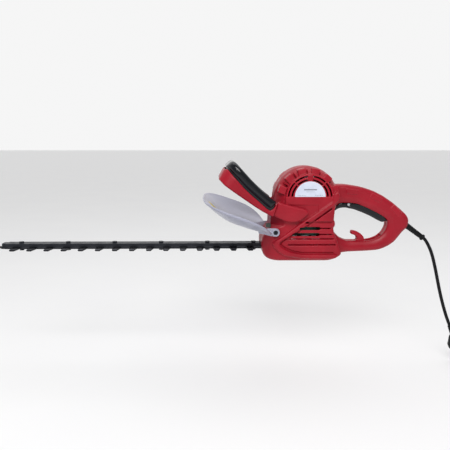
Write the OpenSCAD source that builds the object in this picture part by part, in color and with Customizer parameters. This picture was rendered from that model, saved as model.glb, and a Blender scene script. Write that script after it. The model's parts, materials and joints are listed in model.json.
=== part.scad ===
// Electric hedge trimmer with a double-sided reciprocating blade.
// X runs along the tool with the blade towards -X, Y is across it and Z is up.
// Everything is drawn about the motor's axis (x = 0), the seam (y = 0) and the flat
// base (z = 0), and then moved so that the origin is the middle of the rear grip.

/* [Housing] */
// Half the width of the lower housing
body_half_w = 48; // [47:0.5:50]
// Half the width of the housing at its flat face panel
face_half_w = 52; // [51:0.5:53]
// Radius of the domed motor cap
dome_r = 62; // [61:0.5:63]
// Thickness of the housing's walls
wall = 3; // [2.5:0.1:3.2]
// Half the width of the rear handle
grip_half_w = 17; // [16:0.5:18]

/* [Blades] */
// Distance from one tooth to the next
tooth_pitch = 33; // [32:0.5:34]
// Number of teeth along each side of a blade
teeth = 15; // [13:1:15]
// Half the width across the tips of the teeth
tooth_reach = 35; // [30:0.5:36]
// Half the width of the bar part of a blade
blade_half_w = 12; // [11:0.5:12.5]
// Thickness of one blade
blade_t = 2; // [1.8:0.1:2]
// How far each blade moves to either side of its middle place
half_stroke = 6; // [5:0.5:6]

/* [Drive] */
// Teeth on the motor's pinion
pinion_teeth = 9; // [9:1:9]
// Teeth on the driven gear
gear_teeth = 63; // [63:1:63]
// Size of the gear teeth
gear_module = 1; // [1:1:1]

/* [Front handle] */
// Half the outside width of the front handle
bail_half_w = 68; // [67:0.5:70]
// Thickness of the front handle's legs across the tool
bail_leg_w = 16; // [15:0.5:16]

/* [Hand guard] */
// Half the width of the guard, across the blade
guard_half_w = 142; // [138:1:144]
// Half the length of the guard, along the blade
guard_half_len = 66; // [65:0.5:67]
// Depth of the guard's bowl
guard_depth = 28; // [27:0.5:29]
// Thickness of the guard's wall
guard_t = 2.6; // [2.4:0.1:3]

/* [Supply cord] */
// Diameter of the cord
cord_d = 6.5; // [6:0.1:7]

/* [Hidden] */
$fn = 64;
clear = 0.3;
run_fit = 0.05;

// The middle of the rear grip, which is the origin
grip_x = 125;
grip_z = 115;

// Levels in the blade and gear stack
lower_blade_z = 18.6;
blade_gap = 0.1;
upper_blade_z = lower_blade_z + blade_t + blade_gap;
bar_z = upper_blade_z + blade_t + 0.2;
bar_top_z = bar_z + 6.4;
gear_z = 24;
gear_w = 7;

// Drive train
gear_r = gear_module * gear_teeth / 2;
pinion_r = gear_module * pinion_teeth / 2;
gear_x = -(gear_r + pinion_r);
spindle_r = 3.5;
cam_r = half_stroke + spindle_r + 2;
// The yokes' windows leave the cams free at every place of the blades
yoke_half_y = cam_r + half_stroke + 0.6;
yoke_half_x = yoke_half_y + half_stroke;
yoke_rim = 4;
shaft_r = 4;
pinion_bore_r = 2;

// Blade outline
first_tooth_x = -571.7;
root_half = 8;
tip_half = 5;
blade_tip_x = -611;
bar_tip_x = -601;
bar_end_x = -71.5;
plate_front_x = -84;
bolt_pitch = 92.6;
bolt_count = 6;
first_bolt_x = -565;
bolt_r = 2.5;

// Fasteners
screw_r = 2;
screw_head_r = 4;
// How far out the heads of the front handle's screws sit
handle_screw_y = 57.5;
boss_r = 5;

// Rear handle's pivot and the front bar's pivot
trigger_x = 85;
trigger_z = 106;
trigger_pin_r = 2.5;
bar_pivot_x = -74;
bar_pivot_z = 98.8;
bar_pivot_r = 2;

// Dome
dome_x = -2;
dome_z = 120.5;
ring_x = 0.7;
ring_z = 123.5;

// Plane of the handle's tray, which rises forwards
bail_angle = 38;

red = [0.66, 0.16, 0.23];
black = [0.10, 0.11, 0.13];
steel = [0.70, 0.71, 0.73];

// ---- Outlines in the XZ plane -------------------------------------------------

function arc(cx, cz, r, from, to, steps) =
    [for (i = [0 : steps])
        let (a = from + (to - from) * i / steps)
        [cx + r * cos(a), cz + r * sin(a)]];

function unit(v) = v / norm(v);

// Twice the signed area of an outline, which tells which way round it runs
function turn(p) =
    let (n = len(p))
    [for (i = 0, s = 0; i <= n; s = i < n
            ? s + p[i][0] * p[(i + 1) % n][1] - p[(i + 1) % n][0] * p[i][1] : s, i = i + 1)
        if (i == n) s][0];

// The outline moved inwards by d, or outwards where d is negative
function inset(p, d) =
    let (n = len(p), side = turn(p) > 0 ? 1 : -1)
    [for (i = [0 : n - 1])
        let (
            a = unit(p[i] - p[(i + n - 1) % n]),
            b = unit(p[(i + 1) % n] - p[i]),
            na = [-a[1], a[0]] * side,
            nb = [-b[1], b[0]] * side
        )
        p[i] + d * (na + nb) / (1 + na * nb)];

body_outline = concat(
    [[-60, 0], [-74, 2.5]],
    arc(-72, 16, 13, 240, 200, 2),
    [[-88, 24], [-88.5, 40], [-85, 50], [-72, 63], [-71, 100], [-50, 118], [44, 118],
     [49, 92], [49, 66], [55, 44], [65, 16], [53, 4], [41, 0]]
);

face_outline = [[-46, 124], [-44, 78.5], [44, 78.5], [48, 92], [50, 124]];

handle_outline = [
    [48, 146], [76, 146], [96, 143.5], [112, 140], [132, 133.5], [152, 123.5],
    [173, 109.5], [188, 97], [200, 86.5], [205, 78], [205.5, 68], [203, 59], [195, 53],
    [189, 44], [180, 32], [169, 23.5], [156, 17.5], [144, 14], [121, 12.2], [86, 11.5],
    [60, 9], [48, 20]
];

loop_outline = [
    [49, 94], [53, 100], [60, 105], [69, 109], [82, 109], [101, 107], [119, 99.5],
    [140, 89.5], [157, 79.5], [164, 74], [164, 63], [160, 53], [148, 40.5], [135, 35],
    [120, 33], [84, 33], [69, 39.5], [58, 51], [50, 65], [46, 78]
];

// The cavity of the grip, from the housing to the cord's exit
grip_cavity = [
    [40, 142.5], [76, 142.5], [95, 140], [111, 136.5], [130, 130], [150, 120.5],
    [171, 106.5], [186, 94], [196, 85], [200, 78], [200, 70], [192, 62], [182, 62],
    [168, 64], [168, 76], [159, 83], [142, 93], [121, 103], [102, 110.5], [82, 112.5],
    [68, 112.5], [52, 106], [40, 104]
];

hook_outline = concat(
    [[124, 30], [120, 40]],
    [[113.5, 46.5], [107, 51], [102, 53], [94, 53.5], [94, 45]],
    [[101, 44], [105, 40], [105.5, 36], [103, 30]]
);

rib_outer = [
    [57, 137], [52, 124], [43, 116], [-17, 74], [-50, 50], [-68, 37], [-68, 33],
    [-62, 24], [-45, 14], [-16, 8.5], [50, 6]
];
rib_inner = [
    [53, 12], [-14, 14], [-40, 20], [-54, 29], [-57, 35], [-44, 45], [-12, 67],
    [46, 108], [58, 119]
];

tray_outline = [
    [-70, 90.5], [-74.5, 91], [-92, 100.5], [-109, 111.5], [-127, 124], [-145, 136.5],
    [-161, 148], [-172, 159], [-162, 178], [-155, 178], [-145, 166], [-135, 155],
    [-125, 143.5], [-112.5, 131.5], [-98, 119], [-88, 110], [-81, 104], [-76, 101.5],
    [-70, 105], [-62, 115.5]
];
bar_outline = [
    [-162, 181.8], [-149.5, 192], [-144, 192.5], [-139, 189.5], [-131, 180.5],
    [-113, 160.5], [-96, 143], [-78, 127], [-63.6, 116.4], [-71.2, 106.6], [-74.5, 104.3],
    [-80, 107.5], [-88, 114], [-98, 123], [-112.5, 135.5], [-125, 147.5], [-135, 159],
    [-145, 171], [-154, 181.8]
];
// The bar's skirt, which slides in the tray's channel
skirt_outline = [
    [-157.5, 184], [-139, 184], [-113, 155], [-96, 138], [-78, 122], [-66.5, 113],
    [-68.5, 106], [-71, 99], [-73, 95.2], [-77, 96.5], [-88, 106], [-109, 123.5],
    [-127, 141], [-145, 160.5], [-156, 173]
];
foot_outline = [
    [-70, 90.5], [-62, 115.5], [-59, 117], [-28, 106], [-8, 101.5], [-4, 97.5],
    [-14, 87], [-29, 77.5], [-40, 78.5], [-52, 81.5]
];

trigger_outline = [
    [55, 92], [60, 94.5], [66, 98.5], [78, 100], [97, 96], [114, 89.5], [131, 82],
    [144, 75], [154, 70], [161, 72.5], [163.5, 75.5], [157, 86], [140, 96], [119, 106],
    [101, 110], [69, 110], [57, 102], [53.5, 96]
];

// The room that the trigger sweeps through inside the grip
trigger_pocket = [
    [52.6, 90], [52.4, 96.5], [56, 103], [68.5, 111.2], [101, 112.8], [119.5, 110.2],
    [141.5, 102], [159, 93.8], [166.8, 83], [164.6, 74.5], [162.2, 70.5], [150, 60],
    [60, 80]
];

// The cord's path from the end of the strain relief to the plug, in X and Z
cord_route = [
    [241, 37], [244.2, 34.7], [248, 30], [251.5, 24.5], [255, 18], [258.5, 11], [264, -4], [269, -21],
    [273.5, -38], [278, -56], [283, -75], [288.5, -94], [295, -114], [302, -133],
    [309, -149]
];
plug_turn = atan2(-16, 7);
cord_sides = 10;

// ---- Shared shapes -------------------------------------------------------------

// Moves a piece from the housing's own place to the grip's
module at_grip() translate([-grip_x, 0, -grip_z]) children();

// A plate with an outline in XZ, from y0 to y1
module plate(outline, y0, y1)
    translate([0, y1, 0])
        rotate([90, 0, 0])
            linear_extrude(y1 - y0)
                polygon(outline);

module y_rod(x, z, r, y0, y1)
    translate([x, y1, z])
        rotate([90, 0, 0])
            cylinder(r = r, h = y1 - y0);

module z_rod(x, y, r, z0, z1)
    translate([x, y, z0])
        cylinder(r = r, h = z1 - z0);

module z_ring(r_out, r_in, z0, z1)
    difference() {
        z_rod(0, 0, r_out, z0, z1);
        z_rod(0, 0, r_in, z0 - 1, z1 + 1);
    }

module box(x0, x1, y0, y1, z0, z1)
    translate([x0, y0, z0])
        cube([x1 - x0, y1 - y0, z1 - z0]);

// A body of revolution about the dome's cross axis, given as [radius, y] points
module about_y(x, z, points, angle = 360)
    translate([x, 0, z])
        rotate([90, 0, 0])
            rotate_extrude(angle = angle, $fn = 96)
                polygon(points);

// ---- Housing -------------------------------------------------------------------

housing_screw_at = [
    [-79, 43.5], [-60, 108], [56, 20], [46, 112], [150, 26], [192, 76], [88, 130]
];
handle_screw_at = [[-52, 98], [-24, 90]];
guard_screw_x = -63.5;
guard_screw_z = 57.3;

function dome_profile(d) = [
    [0, 0], [dome_r - d, 0], [dome_r - d, 22 - d], [dome_r - 4 - d, 36 - d],
    [46.5 - d, face_half_w - d], [0, face_half_w - d]
];

module shell_solid() {
    plate(body_outline, -body_half_w, 0);
    plate(face_outline, -face_half_w, 0);
    about_y(dome_x, dome_z, dome_profile(0));
    plate(concat(rib_outer, rib_inner), -body_half_w - 3, -body_half_w + 1);
    difference() {
        plate(handle_outline, -grip_half_w, 0);
        plate(loop_outline, -grip_half_w - 1, 1);
    }
    plate(hook_outline, -7, 0);
    // Raised pads round the dome's shoulder
    for (a = [20 : 28 : 160])
        translate([dome_x, 0, dome_z])
            rotate([0, -a, 0])
                box(47, 59, -45, -32, -8, 8);
}

module shell_cavity() {
    difference() {
        union() {
            plate(inset(body_outline, wall), -body_half_w + wall, 1);
            plate(inset(face_outline, wall), -face_half_w + wall, 1);
            about_y(dome_x, dome_z, dome_profile(wall));
        }
        shell_webs();
    }
    plate(grip_cavity, -grip_half_w + wall, 1);
}

// Webs that hold the motor and the bearings, and bosses for the screws
module shell_webs() {
    for (z = [69, 95])
        difference() {
            box(-70, 50, -60, 0, z, z + 3);
            z_rod(0, 0, 38 + run_fit, z - 1, z + 4);
        }
    difference() {
        box(-40, 40, -60, 0, 154, 162);
        z_rod(0, 0, 11 + run_fit, 153, 161);
        z_rod(0, 0, 5.5, 150, 170);
    }
    for (p = housing_screw_at)
        y_rod(p[0], p[1], boss_r, -60, 0);
    for (p = handle_screw_at)
        y_rod(p[0], p[1], boss_r, -60, -34);
    y_rod(guard_screw_x, guard_screw_z, boss_r, -60, -34);
    // Ledges under the base plate and the gear plate
    box(-90, 60, -60, -30, 0, 10);
    box(-90, -56, -60, -33, 33, 37);
    box(10, 60, -60, -33, 33, 37);
}

// Arc-shaped vents beside the label
module vents()
    translate([ring_x, 0, ring_z])
        rotate([90, 0, 0])
            for (r = [32, 39], a = [2, 48, 98, 138])
                rotate([0, 0, a])
                    rotate_extrude(angle = a == 98 || a == 2 ? 38 : (a == 48 ? 34 : 40), $fn = 96)
                        translate([r, 44])
                            square([3, 12]);

module louvres() {
    box(-18, 22, -body_half_w - 5, -body_half_w + 6, 62, 66);
    box(-31, 21, -body_half_w - 5, -body_half_w + 6, 50.5, 54.5);
    box(22, 42, -body_half_w - 1, -body_half_w + 1.2, 62.5, 65.5);
    box(21, 45, -body_half_w - 1, -body_half_w + 1.2, 51, 54);
    box(-41, 48, -body_half_w - 1, -body_half_w + 1.2, 42.5, 45);
    box(-39, 52, -body_half_w - 1, -body_half_w + 1.2, 31, 33.5);
}

module shell_openings() {
    vents();
    louvres();
    // Mouth for the blades
    box(-100, -60, -blade_half_w - 1.2, 1, lower_blade_z - 4.5, bar_top_z + 1);
    // Seat for the guard's ear
    y_rod(guard_screw_x, guard_screw_z, 11, -body_half_w - 5, -body_half_w + 0.8);
    y_rod(guard_screw_x, guard_screw_z, screw_r + run_fit, -60, -35.5);
    for (p = handle_screw_at)
        y_rod(p[0], p[1], screw_r + run_fit, -60, -40);
    plate(trigger_pocket, -11.6, 1);
    cord_exit();
}

// A tapered hole for the strain relief
module cord_exit()
    translate([203, 0, 64.5])
        rotate([0, 90 + 36, 0])
            translate([0, 0, -9])
                cylinder(r = 7.2, h = 14);

module lug_web()
    difference() {
        plate([[78, 143], [92, 143], [92, 116], [90, 102], [80, 102], [78, 116]], -3, 0);
        y_rod(trigger_x, trigger_z, trigger_pin_r, -5, 1);
    }

module half_shell() {
    intersection() {
        difference() {
            shell_solid();
            shell_cavity();
            shell_openings();
        }
        box(-120, 230, -70, 0, -5, 190);
    }
    lug_web();
}

module screw_path(y0, y1)
    for (p = housing_screw_at)
        y_rod(p[0], p[1], screw_r + run_fit, y0, y1);

module left_shell() color(red) at_grip()
    difference() {
        half_shell();
        screw_path(-12, 1);
    }

module right_shell() color(red) at_grip()
    difference() {
        mirror([0, 1, 0]) half_shell();
        screw_path(-1, 80);
        for (p = housing_screw_at)
            y_rod(p[0], p[1], screw_head_r + clear, p[0] > 70 ? 13 : 40, 80);
    }

module label_plate()
    translate([ring_x, -face_half_w, 125.6])
        rotate([90, 0, 0])
            difference() {
                cylinder(r = 29, h = 0.6);
                translate([-40, -80, -1])
                    cube([80, 80, 4]);
            }

module left_label() color([0.85, 0.87, 0.93]) at_grip() label_plate();

module right_label() color([0.85, 0.87, 0.93]) at_grip() mirror([0, 1, 0]) label_plate();

module screw_y(x, z, y_head, y_tip) {
    y_rod(x, z, screw_r, y_tip, y_head);
    difference() {
        y_rod(x, z, screw_head_r, y_head, y_head + 2.4);
        y_rod(x, z, 1.5, y_head + 1, y_head + 3);
    }
}

module housing_screws() color(steel) at_grip()
    for (p = housing_screw_at)
        screw_y(p[0], p[1], p[0] > 70 ? 13 : 40, -11);

// ---- Front handle --------------------------------------------------------------

// A U in the tray's plane, as the area between two rounded rectangles
module u_shape(out, in, far, near_len) {
    corner = 34 - (bail_half_w - out);
    difference() {
        union() {
            translate([-near_len, -out]) square([near_len + far - corner, 2 * out]);
            translate([0, -out + corner]) square([far, 2 * (out - corner)]);
            for (s = [-1, 1]) translate([far - corner, s * (out - corner)]) circle(corner);
        }
        inner_far = far - (out - in) - 4;
        inner_corner = 18;
        union() {
            translate([-near_len - 1, -in]) square([near_len + 1 + inner_far - inner_corner, 2 * in]);
            translate([-near_len, -in + inner_corner])
                square([near_len + inner_far, 2 * (in - inner_corner)]);
            for (s = [-1, 1])
                translate([inner_far - inner_corner, s * (in - inner_corner)]) circle(inner_corner);
        }
    }
}

// The U stood on the tray's slope: its X runs up the slope from the pivot
module bail_column(out, in, far)
    translate([bar_pivot_x, 0, bar_pivot_z])
        rotate([0, bail_angle - 180, 0])
            mirror([0, 0, 1])
                linear_extrude(160, center = true)
                    u_shape(out, in, far, 40);

tray_far = 118.5;
tray_wall = 2.6;

module tray_shape()
    intersection() {
        plate(tray_outline, -bail_half_w, bail_half_w);
        bail_column(bail_half_w, bail_half_w - bail_leg_w, tray_far);
    }

module tray_channel()
    intersection() {
        plate(inset(concat([for (i = [0 : 7]) tray_outline[i]],
                [[-150.5, 200], [-130, 200], [-100, 165], [-59.6, 123]]), tray_wall),
            -bail_half_w, bail_half_w);
        bail_column(bail_half_w - tray_wall, bail_half_w - bail_leg_w + tray_wall,
            tray_far - tray_wall);
    }

module foot(side)
    difference() {
        plate(foot_outline, side > 0 ? face_half_w + 0.2 : -bail_half_w + 6,
            side > 0 ? bail_half_w - 6 : -face_half_w - 0.2);
        for (p = handle_screw_at) {
            y_rod(p[0], p[1], screw_r + run_fit, -90, 90);
            y_rod(p[0], p[1], screw_head_r + clear, side > 0 ? handle_screw_y : -90,
                side > 0 ? 90 : -handle_screw_y);
        }
    }

module front_handle() color(red) at_grip() {
    difference() {
        union() {
            tray_shape();
            foot(1);
            foot(-1);
        }
        tray_channel();
        for (s = [0, 1])
            mirror([0, s, 0])
                y_rod(bar_pivot_x, bar_pivot_z, bar_pivot_r, pin_in, pin_out);
    }
}

skirt_clear = 0.4;
pin_in = bail_half_w - bail_leg_w - 0.5;
pin_out = bail_half_w - 1.2;

module front_switch_bar() color(black) at_grip()
    difference() {
        union() {
            intersection() {
                plate(bar_outline, -bail_half_w, bail_half_w);
                bail_column(bail_half_w, bail_half_w - bail_leg_w, tray_far + 2.5);
            }
            intersection() {
                plate(skirt_outline, -bail_half_w, bail_half_w);
                bail_column(bail_half_w - tray_wall - skirt_clear,
                    bail_half_w - bail_leg_w + tray_wall + skirt_clear,
                    tray_far - tray_wall - skirt_clear);
            }
        }
        y_rod(bar_pivot_x, bar_pivot_z, bar_pivot_r + run_fit, -90, 90);
    }

module bar_pivot_pins() color(steel) at_grip()
    for (s = [0, 1])
        mirror([0, s, 0])
            y_rod(bar_pivot_x, bar_pivot_z, bar_pivot_r, pin_in + 0.5, pin_out);

module front_handle_screws() color(steel) at_grip()
    for (p = handle_screw_at, s = [0, 1])
        mirror([0, s, 0])
            screw_y(p[0], p[1], handle_screw_y, 42);

// The microswitch stands on the tray's floor under the bar's skirt
module on_tray_floor()
    at_grip()
        translate([-130, -60, 129.6])
            rotate([0, floor_angle, 0])
                children();

floor_angle = 34.8;
front_plunger_r = 1.4;

module front_microswitch() color(black) on_tray_floor()
    difference() {
        translate([-9, -3, 0.4]) cube([18, 6, 5.2]);
        translate([0, 0, 2.4]) cylinder(r = front_plunger_r + 2 * run_fit, h = 5);
    }

module front_switch_plunger() color([0.8, 0.2, 0.15]) on_tray_floor()
    translate([0, 0, 4.2]) cylinder(r = front_plunger_r, h = 5.8);

// ---- Hand guard ----------------------------------------------------------------

guard_x = -136.5;
guard_spokes = 48;
guard_rings = 8;
// How square the guard's plan is, how full its bowl is, and how much further the bowl's
// fall reaches behind the middle
plan_power = 3;
bowl_power = 1.7;
guard_run_on = 76;

function guard_rim_z(x) = 78 - (x + 80) * 0.35;

function plan_norm(u, v) = pow(pow(abs(u), plan_power) + pow(abs(v), plan_power), 1 / plan_power);

// A point of the bowl at a share of the way out to its rim
function guard_point(angle, share, out) =
    let (
        l = guard_half_len - guard_t + out,
        w = guard_half_w - guard_t + out,
        reach = share / plan_norm(cos(angle), sin(angle)),
        x = guard_x + l * reach * cos(angle),
        y = w * reach * sin(angle),
        t = plan_norm((x - guard_x) / (x < guard_x ? l : l + guard_run_on), y / w)
    )
    [x, y, guard_rim_z(x) - (guard_depth + out) * (1 - pow(t, bowl_power))];

// The middle of one face of the bowl, then its rings from the inside out
function guard_face(out, lift) = concat(
    [guard_point(0, 0, out) + [0, 0, lift]],
    [for (i = [1 : guard_rings], j = [0 : guard_spokes - 1])
        guard_point(360 * j / guard_spokes, i / guard_rings, out) + [0, 0, lift]]);

module guard_bowl() {
    below = guard_face(guard_t, 0);
    above = guard_face(0, guard_t / 2);
    function at(face, i, j) =
        face * len(below) + 1 + (i - 1) * guard_spokes + j % guard_spokes;
    function flip(face, t) = face == 0 ? t : [t[0], t[2], t[1]];
    polyhedron(
        points = concat(below, above),
        faces = concat(
            [for (f = [0, 1], j = [0 : guard_spokes - 1])
                flip(f, [f * len(below), at(f, 1, j), at(f, 1, j + 1)])],
            [for (f = [0, 1], i = [1 : guard_rings - 1], j = [0 : guard_spokes - 1], k = [0, 1])
                flip(f, k == 0 ? [at(f, i, j), at(f, i + 1, j), at(f, i + 1, j + 1)]
                               : [at(f, i, j), at(f, i + 1, j + 1), at(f, i, j + 1)])],
            [for (j = [0 : guard_spokes - 1], k = [0, 1])
                let (low = at(0, guard_rings, j + 1), high = at(1, guard_rings, j))
                k == 0 ? [high, at(1, guard_rings, j + 1), low]
                       : [high, low, at(0, guard_rings, j)]]
        )
    );
}

ear_outline = [
    [-95, 60], [-84, 66], [-74, 67], [-66, 64.5], [-58, 61], [-56, 57.3], [-58, 52],
    [-63.5, 49.8], [-80, 49.5], [-95, 50.5]
];

module guard_ear(s)
    difference() {
        union() {
            plate(ear_outline, s > 0 ? body_half_w + 0.3 : -body_half_w - 3.3,
                s > 0 ? body_half_w + 3.3 : -body_half_w - 0.3);
            y_rod(guard_screw_x, guard_screw_z, 7.5, s > 0 ? body_half_w - 0.6 : -56,
                s > 0 ? 56 : -body_half_w + 0.6);
        }
        y_rod(guard_screw_x, guard_screw_z, screw_r + run_fit, -90, 90);
        y_rod(guard_screw_x, guard_screw_z, screw_head_r + clear, s > 0 ? 52 : -90, s > 0 ? 90 : -52);
    }

module guard() color([0.70, 0.72, 0.80, 0.6]) at_grip() {
    difference() {
        guard_bowl();
        box(-97, -60, -body_half_w - 0.3, body_half_w + 0.3, 20, 120);
    }
    guard_ear(1);
    guard_ear(-1);
}

module guard_screws() color([0.12, 0.12, 0.13]) at_grip()
    for (s = [0, 1])
        mirror([0, s, 0])
            screw_y(guard_screw_x, guard_screw_z, 52, 36);

module guard_stop() color([0.25, 0.28, 0.26]) at_grip()
    box(-80, -72.1, -40, -26, 65.5, 72);

// ---- Trigger and rear switch ----------------------------------------------------

module trigger() color(black) at_grip()
    difference() {
        plate(trigger_outline, -11, 11);
        // Slot for the lugs that carry the pin
        box(trigger_x - 10, trigger_x + 10, -3.4, 3.4, 97.5, 120);
        y_rod(trigger_x, trigger_z, trigger_pin_r + run_fit, -20, 20);
    }

module trigger_pin() color(steel) at_grip()
    y_rod(trigger_x, trigger_z, trigger_pin_r, -11.3, 11.3);

module rear_switch() color([0.2, 0.2, 0.22]) at_grip()
    difference() {
        box(104, 132, -8, 8, 115, 128);
        z_rod(116, 0, 1.8, 100, 122);
    }

module rear_switch_plunger() color([0.75, 0.75, 0.72]) at_grip()
    z_rod(116, 0, 1.7, 107.1, 117);

// ---- Cord ------------------------------------------------------------------------

module strain_relief() color(black) at_grip()
    translate([203, 0, 64.5])
        rotate([0, 90 + 36, 0]) {
            translate([0, 0, -8]) cylinder(r = 7, h = 8);
            cylinder(r1 = 6.2, r2 = 4.6, h = 44);
            translate([0, 0, 44]) cylinder(r = 6.4, h = 3);
        }

module cord_clamp() color(black) at_grip() box(182, 188, -12, 12, 66, 69);

module cord_clamp_screws() color(steel) at_grip()
    for (s = [-1, 1])
        z_rod(185, s * 9, 1.5, 69, 76);

module internal_lead() color([0.2, 0.2, 0.2]) at_grip()
    translate([133, 0, 112])
        rotate([0, 90 + 31, 0])
            cylinder(r = 3, h = 55);

module cord() color(black) at_grip() {
    n = len(cord_route);
    r = cord_d / 2;
    points = [for (i = [0 : n - 1], k = [0 : cord_sides - 1])
        let (
            a = cord_route[max(i - 1, 0)],
            b = cord_route[min(i + 1, n - 1)],
            d = unit(b - a),
            t = 360 * k / cord_sides
        )
        [cord_route[i][0] - d[1] * r * cos(t), r * sin(t), cord_route[i][1] + d[0] * r * cos(t)]];
    sides = [for (i = [0 : n - 2], k = [0 : cord_sides - 1])
        let (q = (k + 1) % cord_sides)
        [i * cord_sides + k, i * cord_sides + q, (i + 1) * cord_sides + q, (i + 1) * cord_sides + k]];
    start = [for (k = [cord_sides - 1 : -1 : 0]) k];
    end = [for (k = [0 : cord_sides - 1]) (n - 1) * cord_sides + k];
    polyhedron(points = points, faces = concat(sides, [start], [end]));
}

// The plug's axis carries on along the cord's last stretch
module at_plug() at_grip()
    translate([309, 0, -149])
        rotate([0, 90 - plug_turn, 0])
            children();

module plug() color(black) at_plug() {
    cylinder(r1 = 4.6, r2 = 5.6, h = 22);
    translate([0, 0, 22]) cylinder(r1 = 9, r2 = 16, h = 16);
    translate([0, 0, 38]) cylinder(r = 17.5, h = 10);
}

module plug_pins() color(steel) at_plug()
    for (s = [-1, 1])
        translate([0, s * 9.5, 48])
            cylinder(r = 2.4, h = 19);

// ---- Motor -----------------------------------------------------------------------

module stator_core() color(steel) at_grip()
    difference() {
        z_rod(0, 0, 38, 66, 102);
        z_rod(0, 0, 23, 65, 103);
        for (s = [-1, 1]) box(-20, 20, s > 0 ? 24 : -34, s > 0 ? 34 : -24, 65, 103);
    }

module field_windings() color([0.10, 0.35, 0.28]) at_grip()
    for (z = [50, 102.2])
        for (s = [0, 1])
            mirror([0, s, 0])
                difference() {
                    z_rod(0, 0, 36.5, z, z + (z < 60 ? 15.8 : 6));
                    z_rod(0, 0, 24.5, z - 1, z + 20);
                    box(-50, 50, -50, 4, z - 1, z + 20);
                }

module armature_core() color(steel) at_grip()
    difference() {
        z_rod(0, 0, 22, 67, 101);
        z_rod(0, 0, shaft_r, 60, 110);
        for (i = [0 : 11])
            rotate([0, 0, 30 * i])
                box(16, 23, -1.4, 1.4, 60, 110);
    }

module armature_windings() color([0.72, 0.40, 0.20]) at_grip()
    for (z = [58, 101])
        z_ring(18, shaft_r, z, z + (z < 60 ? 9 : 7));

module commutator() color([0.80, 0.50, 0.28]) at_grip()
    difference() {
        z_ring(11, shaft_r, 109, 122);
        for (i = [0 : 23])
            rotate([0, 0, 15 * i])
                box(10, 12, -0.3, 0.3, 108, 123);
    }

module motor_shaft() color(steel) at_grip() {
    z_rod(0, 0, shaft_r, 33, 162);
    z_rod(0, 0, pinion_bore_r, 23, 33);
}

module motor_fan() color([0.15, 0.15, 0.16]) at_grip() {
    z_ring(42, shaft_r, 130, 132);
    z_ring(9, shaft_r, 132, 146);
    for (i = [0 : 10])
        rotate([0, 0, 360 * i / 11])
            translate([9, 0, 132])
                rotate([0, 0, 18])
                    translate([-0.5, -0.8, -0.5])
                        cube([32, 1.6, 13]);
}

module bearing(z0, r_out, r_in, w) {
    difference() {
        z_ring(r_out, r_in, z0, z0 + w);
        z_ring(r_out - 2.4, r_in + 2.4, z0 - 1, z0 + 0.5);
        z_ring(r_out - 2.4, r_in + 2.4, z0 + w - 0.5, z0 + w + 1);
    }
}

module upper_bearing() color(steel) at_grip() bearing(154, 11, shaft_r + run_fit, 7);

module lower_bearing() color(steel) at_grip() bearing(37, 11, shaft_r + run_fit, 7);

module brush_holders() color([0.78, 0.62, 0.30]) at_grip()
    for (s = [0, 1])
        mirror([s, 0, 0])
            difference() {
                box(12, 40, -5, 5, 110.5, 120.5);
                box(11, 41, -3.1, 3.1, 112.4, 118.6);
            }

module carbon_brushes() color([0.15, 0.15, 0.15]) at_grip()
    for (s = [0, 1])
        mirror([s, 0, 0])
            box(11.1, 30, -3, 3, 112.5, 118.5);

module capacitor() color([0.80, 0.65, 0.20]) at_grip() box(-46, -40, -14, 14, 100, 120);

// ---- Gears and blades --------------------------------------------------------------

pressure_angle = 20;
backlash = 0.12;

// Half the tooth's angle at radius r for an involute gear, in degrees
function flank(r, rp, n, thin) =
    let (
        rb = rp * cos(pressure_angle),
        q = max(r, rb),
        a = acos(rb / q),
        inv = tan(a) * 180 / PI - a,
        inv0 = tan(pressure_angle) * 180 / PI - pressure_angle
    )
    90 / n + inv0 - inv - thin / rp * 180 / PI / 2;

function gear_points(rp, n, add, ded, thin, phase) =
    [for (i = [0 : n - 1])
        let (mid = 360 * i / n + phase, radii = [rp - ded, rp - ded / 3, rp, rp + add / 2, rp + add])
        for (k = [0 : 9])
            let (
                up = k < 5,
                r = up ? radii[k] : radii[9 - k],
                h = flank(r, rp, n, thin)
            )
            [r * cos(mid + (up ? -h : h)), r * sin(mid + (up ? -h : h))]];

pinion_add = 1.1;
pinion_ded = 1.0;
gear_add = 0.7;
gear_ded = 1.4;

module pinion() color(steel) at_grip()
    translate([0, 0, 23])
        linear_extrude(9)
            difference() {
                polygon(gear_points(pinion_r, pinion_teeth, pinion_add, pinion_ded, backlash, 180));
                circle(pinion_bore_r);
            }

module drive_gear() color(steel) at_grip()
    translate([gear_x, 0, gear_z])
        difference() {
            linear_extrude(gear_w)
                polygon(gear_points(gear_r, gear_teeth, gear_add, gear_ded, backlash,
                    180 / gear_teeth));
            translate([0, 0, -1]) cylinder(r = spindle_r + run_fit, h = gear_w + 2);
            for (i = [0 : 5])
                rotate([0, 0, 60 * i])
                    translate([21, 0, -1])
                        cylinder(r = 5, h = gear_w + 2);
        }

module cam(side, z0, z1)
    difference() {
        z_rod(gear_x, side * half_stroke, cam_r, z0, z1);
        z_rod(gear_x, 0, spindle_r + run_fit, z0 - 1, z1 + 1);
    }

module gear_cams() color([0.6, 0.6, 0.62]) at_grip() {
    cam(1, lower_blade_z + blade_t + 0.05, gear_z);
    cam(-1, lower_blade_z - 0.2, lower_blade_z + blade_t + 0.05);
}

module gear_spindle() color(steel) at_grip() {
    z_rod(gear_x, 0, spindle_r, 10, 36);
    z_rod(gear_x, 0, 5, 13, lower_blade_z - 0.4);
}

module gear_plate() color(steel) at_grip()
    difference() {
        union() {
            box(plate_front_x, 30, -33, 33, 33, 37);
            z_rod(0, 0, 15, 37, 46);
        }
        z_rod(0, 0, 11, 37, 47);
        z_rod(0, 0, 7, 30, 40);
        z_rod(gear_x, 0, spindle_r, 30, 36.2);
    }

module base_plate() color(steel) at_grip()
    difference() {
        box(plate_front_x + 4.2, 30, -30, 30, 10, 13);
        z_rod(gear_x, 0, spindle_r, 9, 14);
    }

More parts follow.
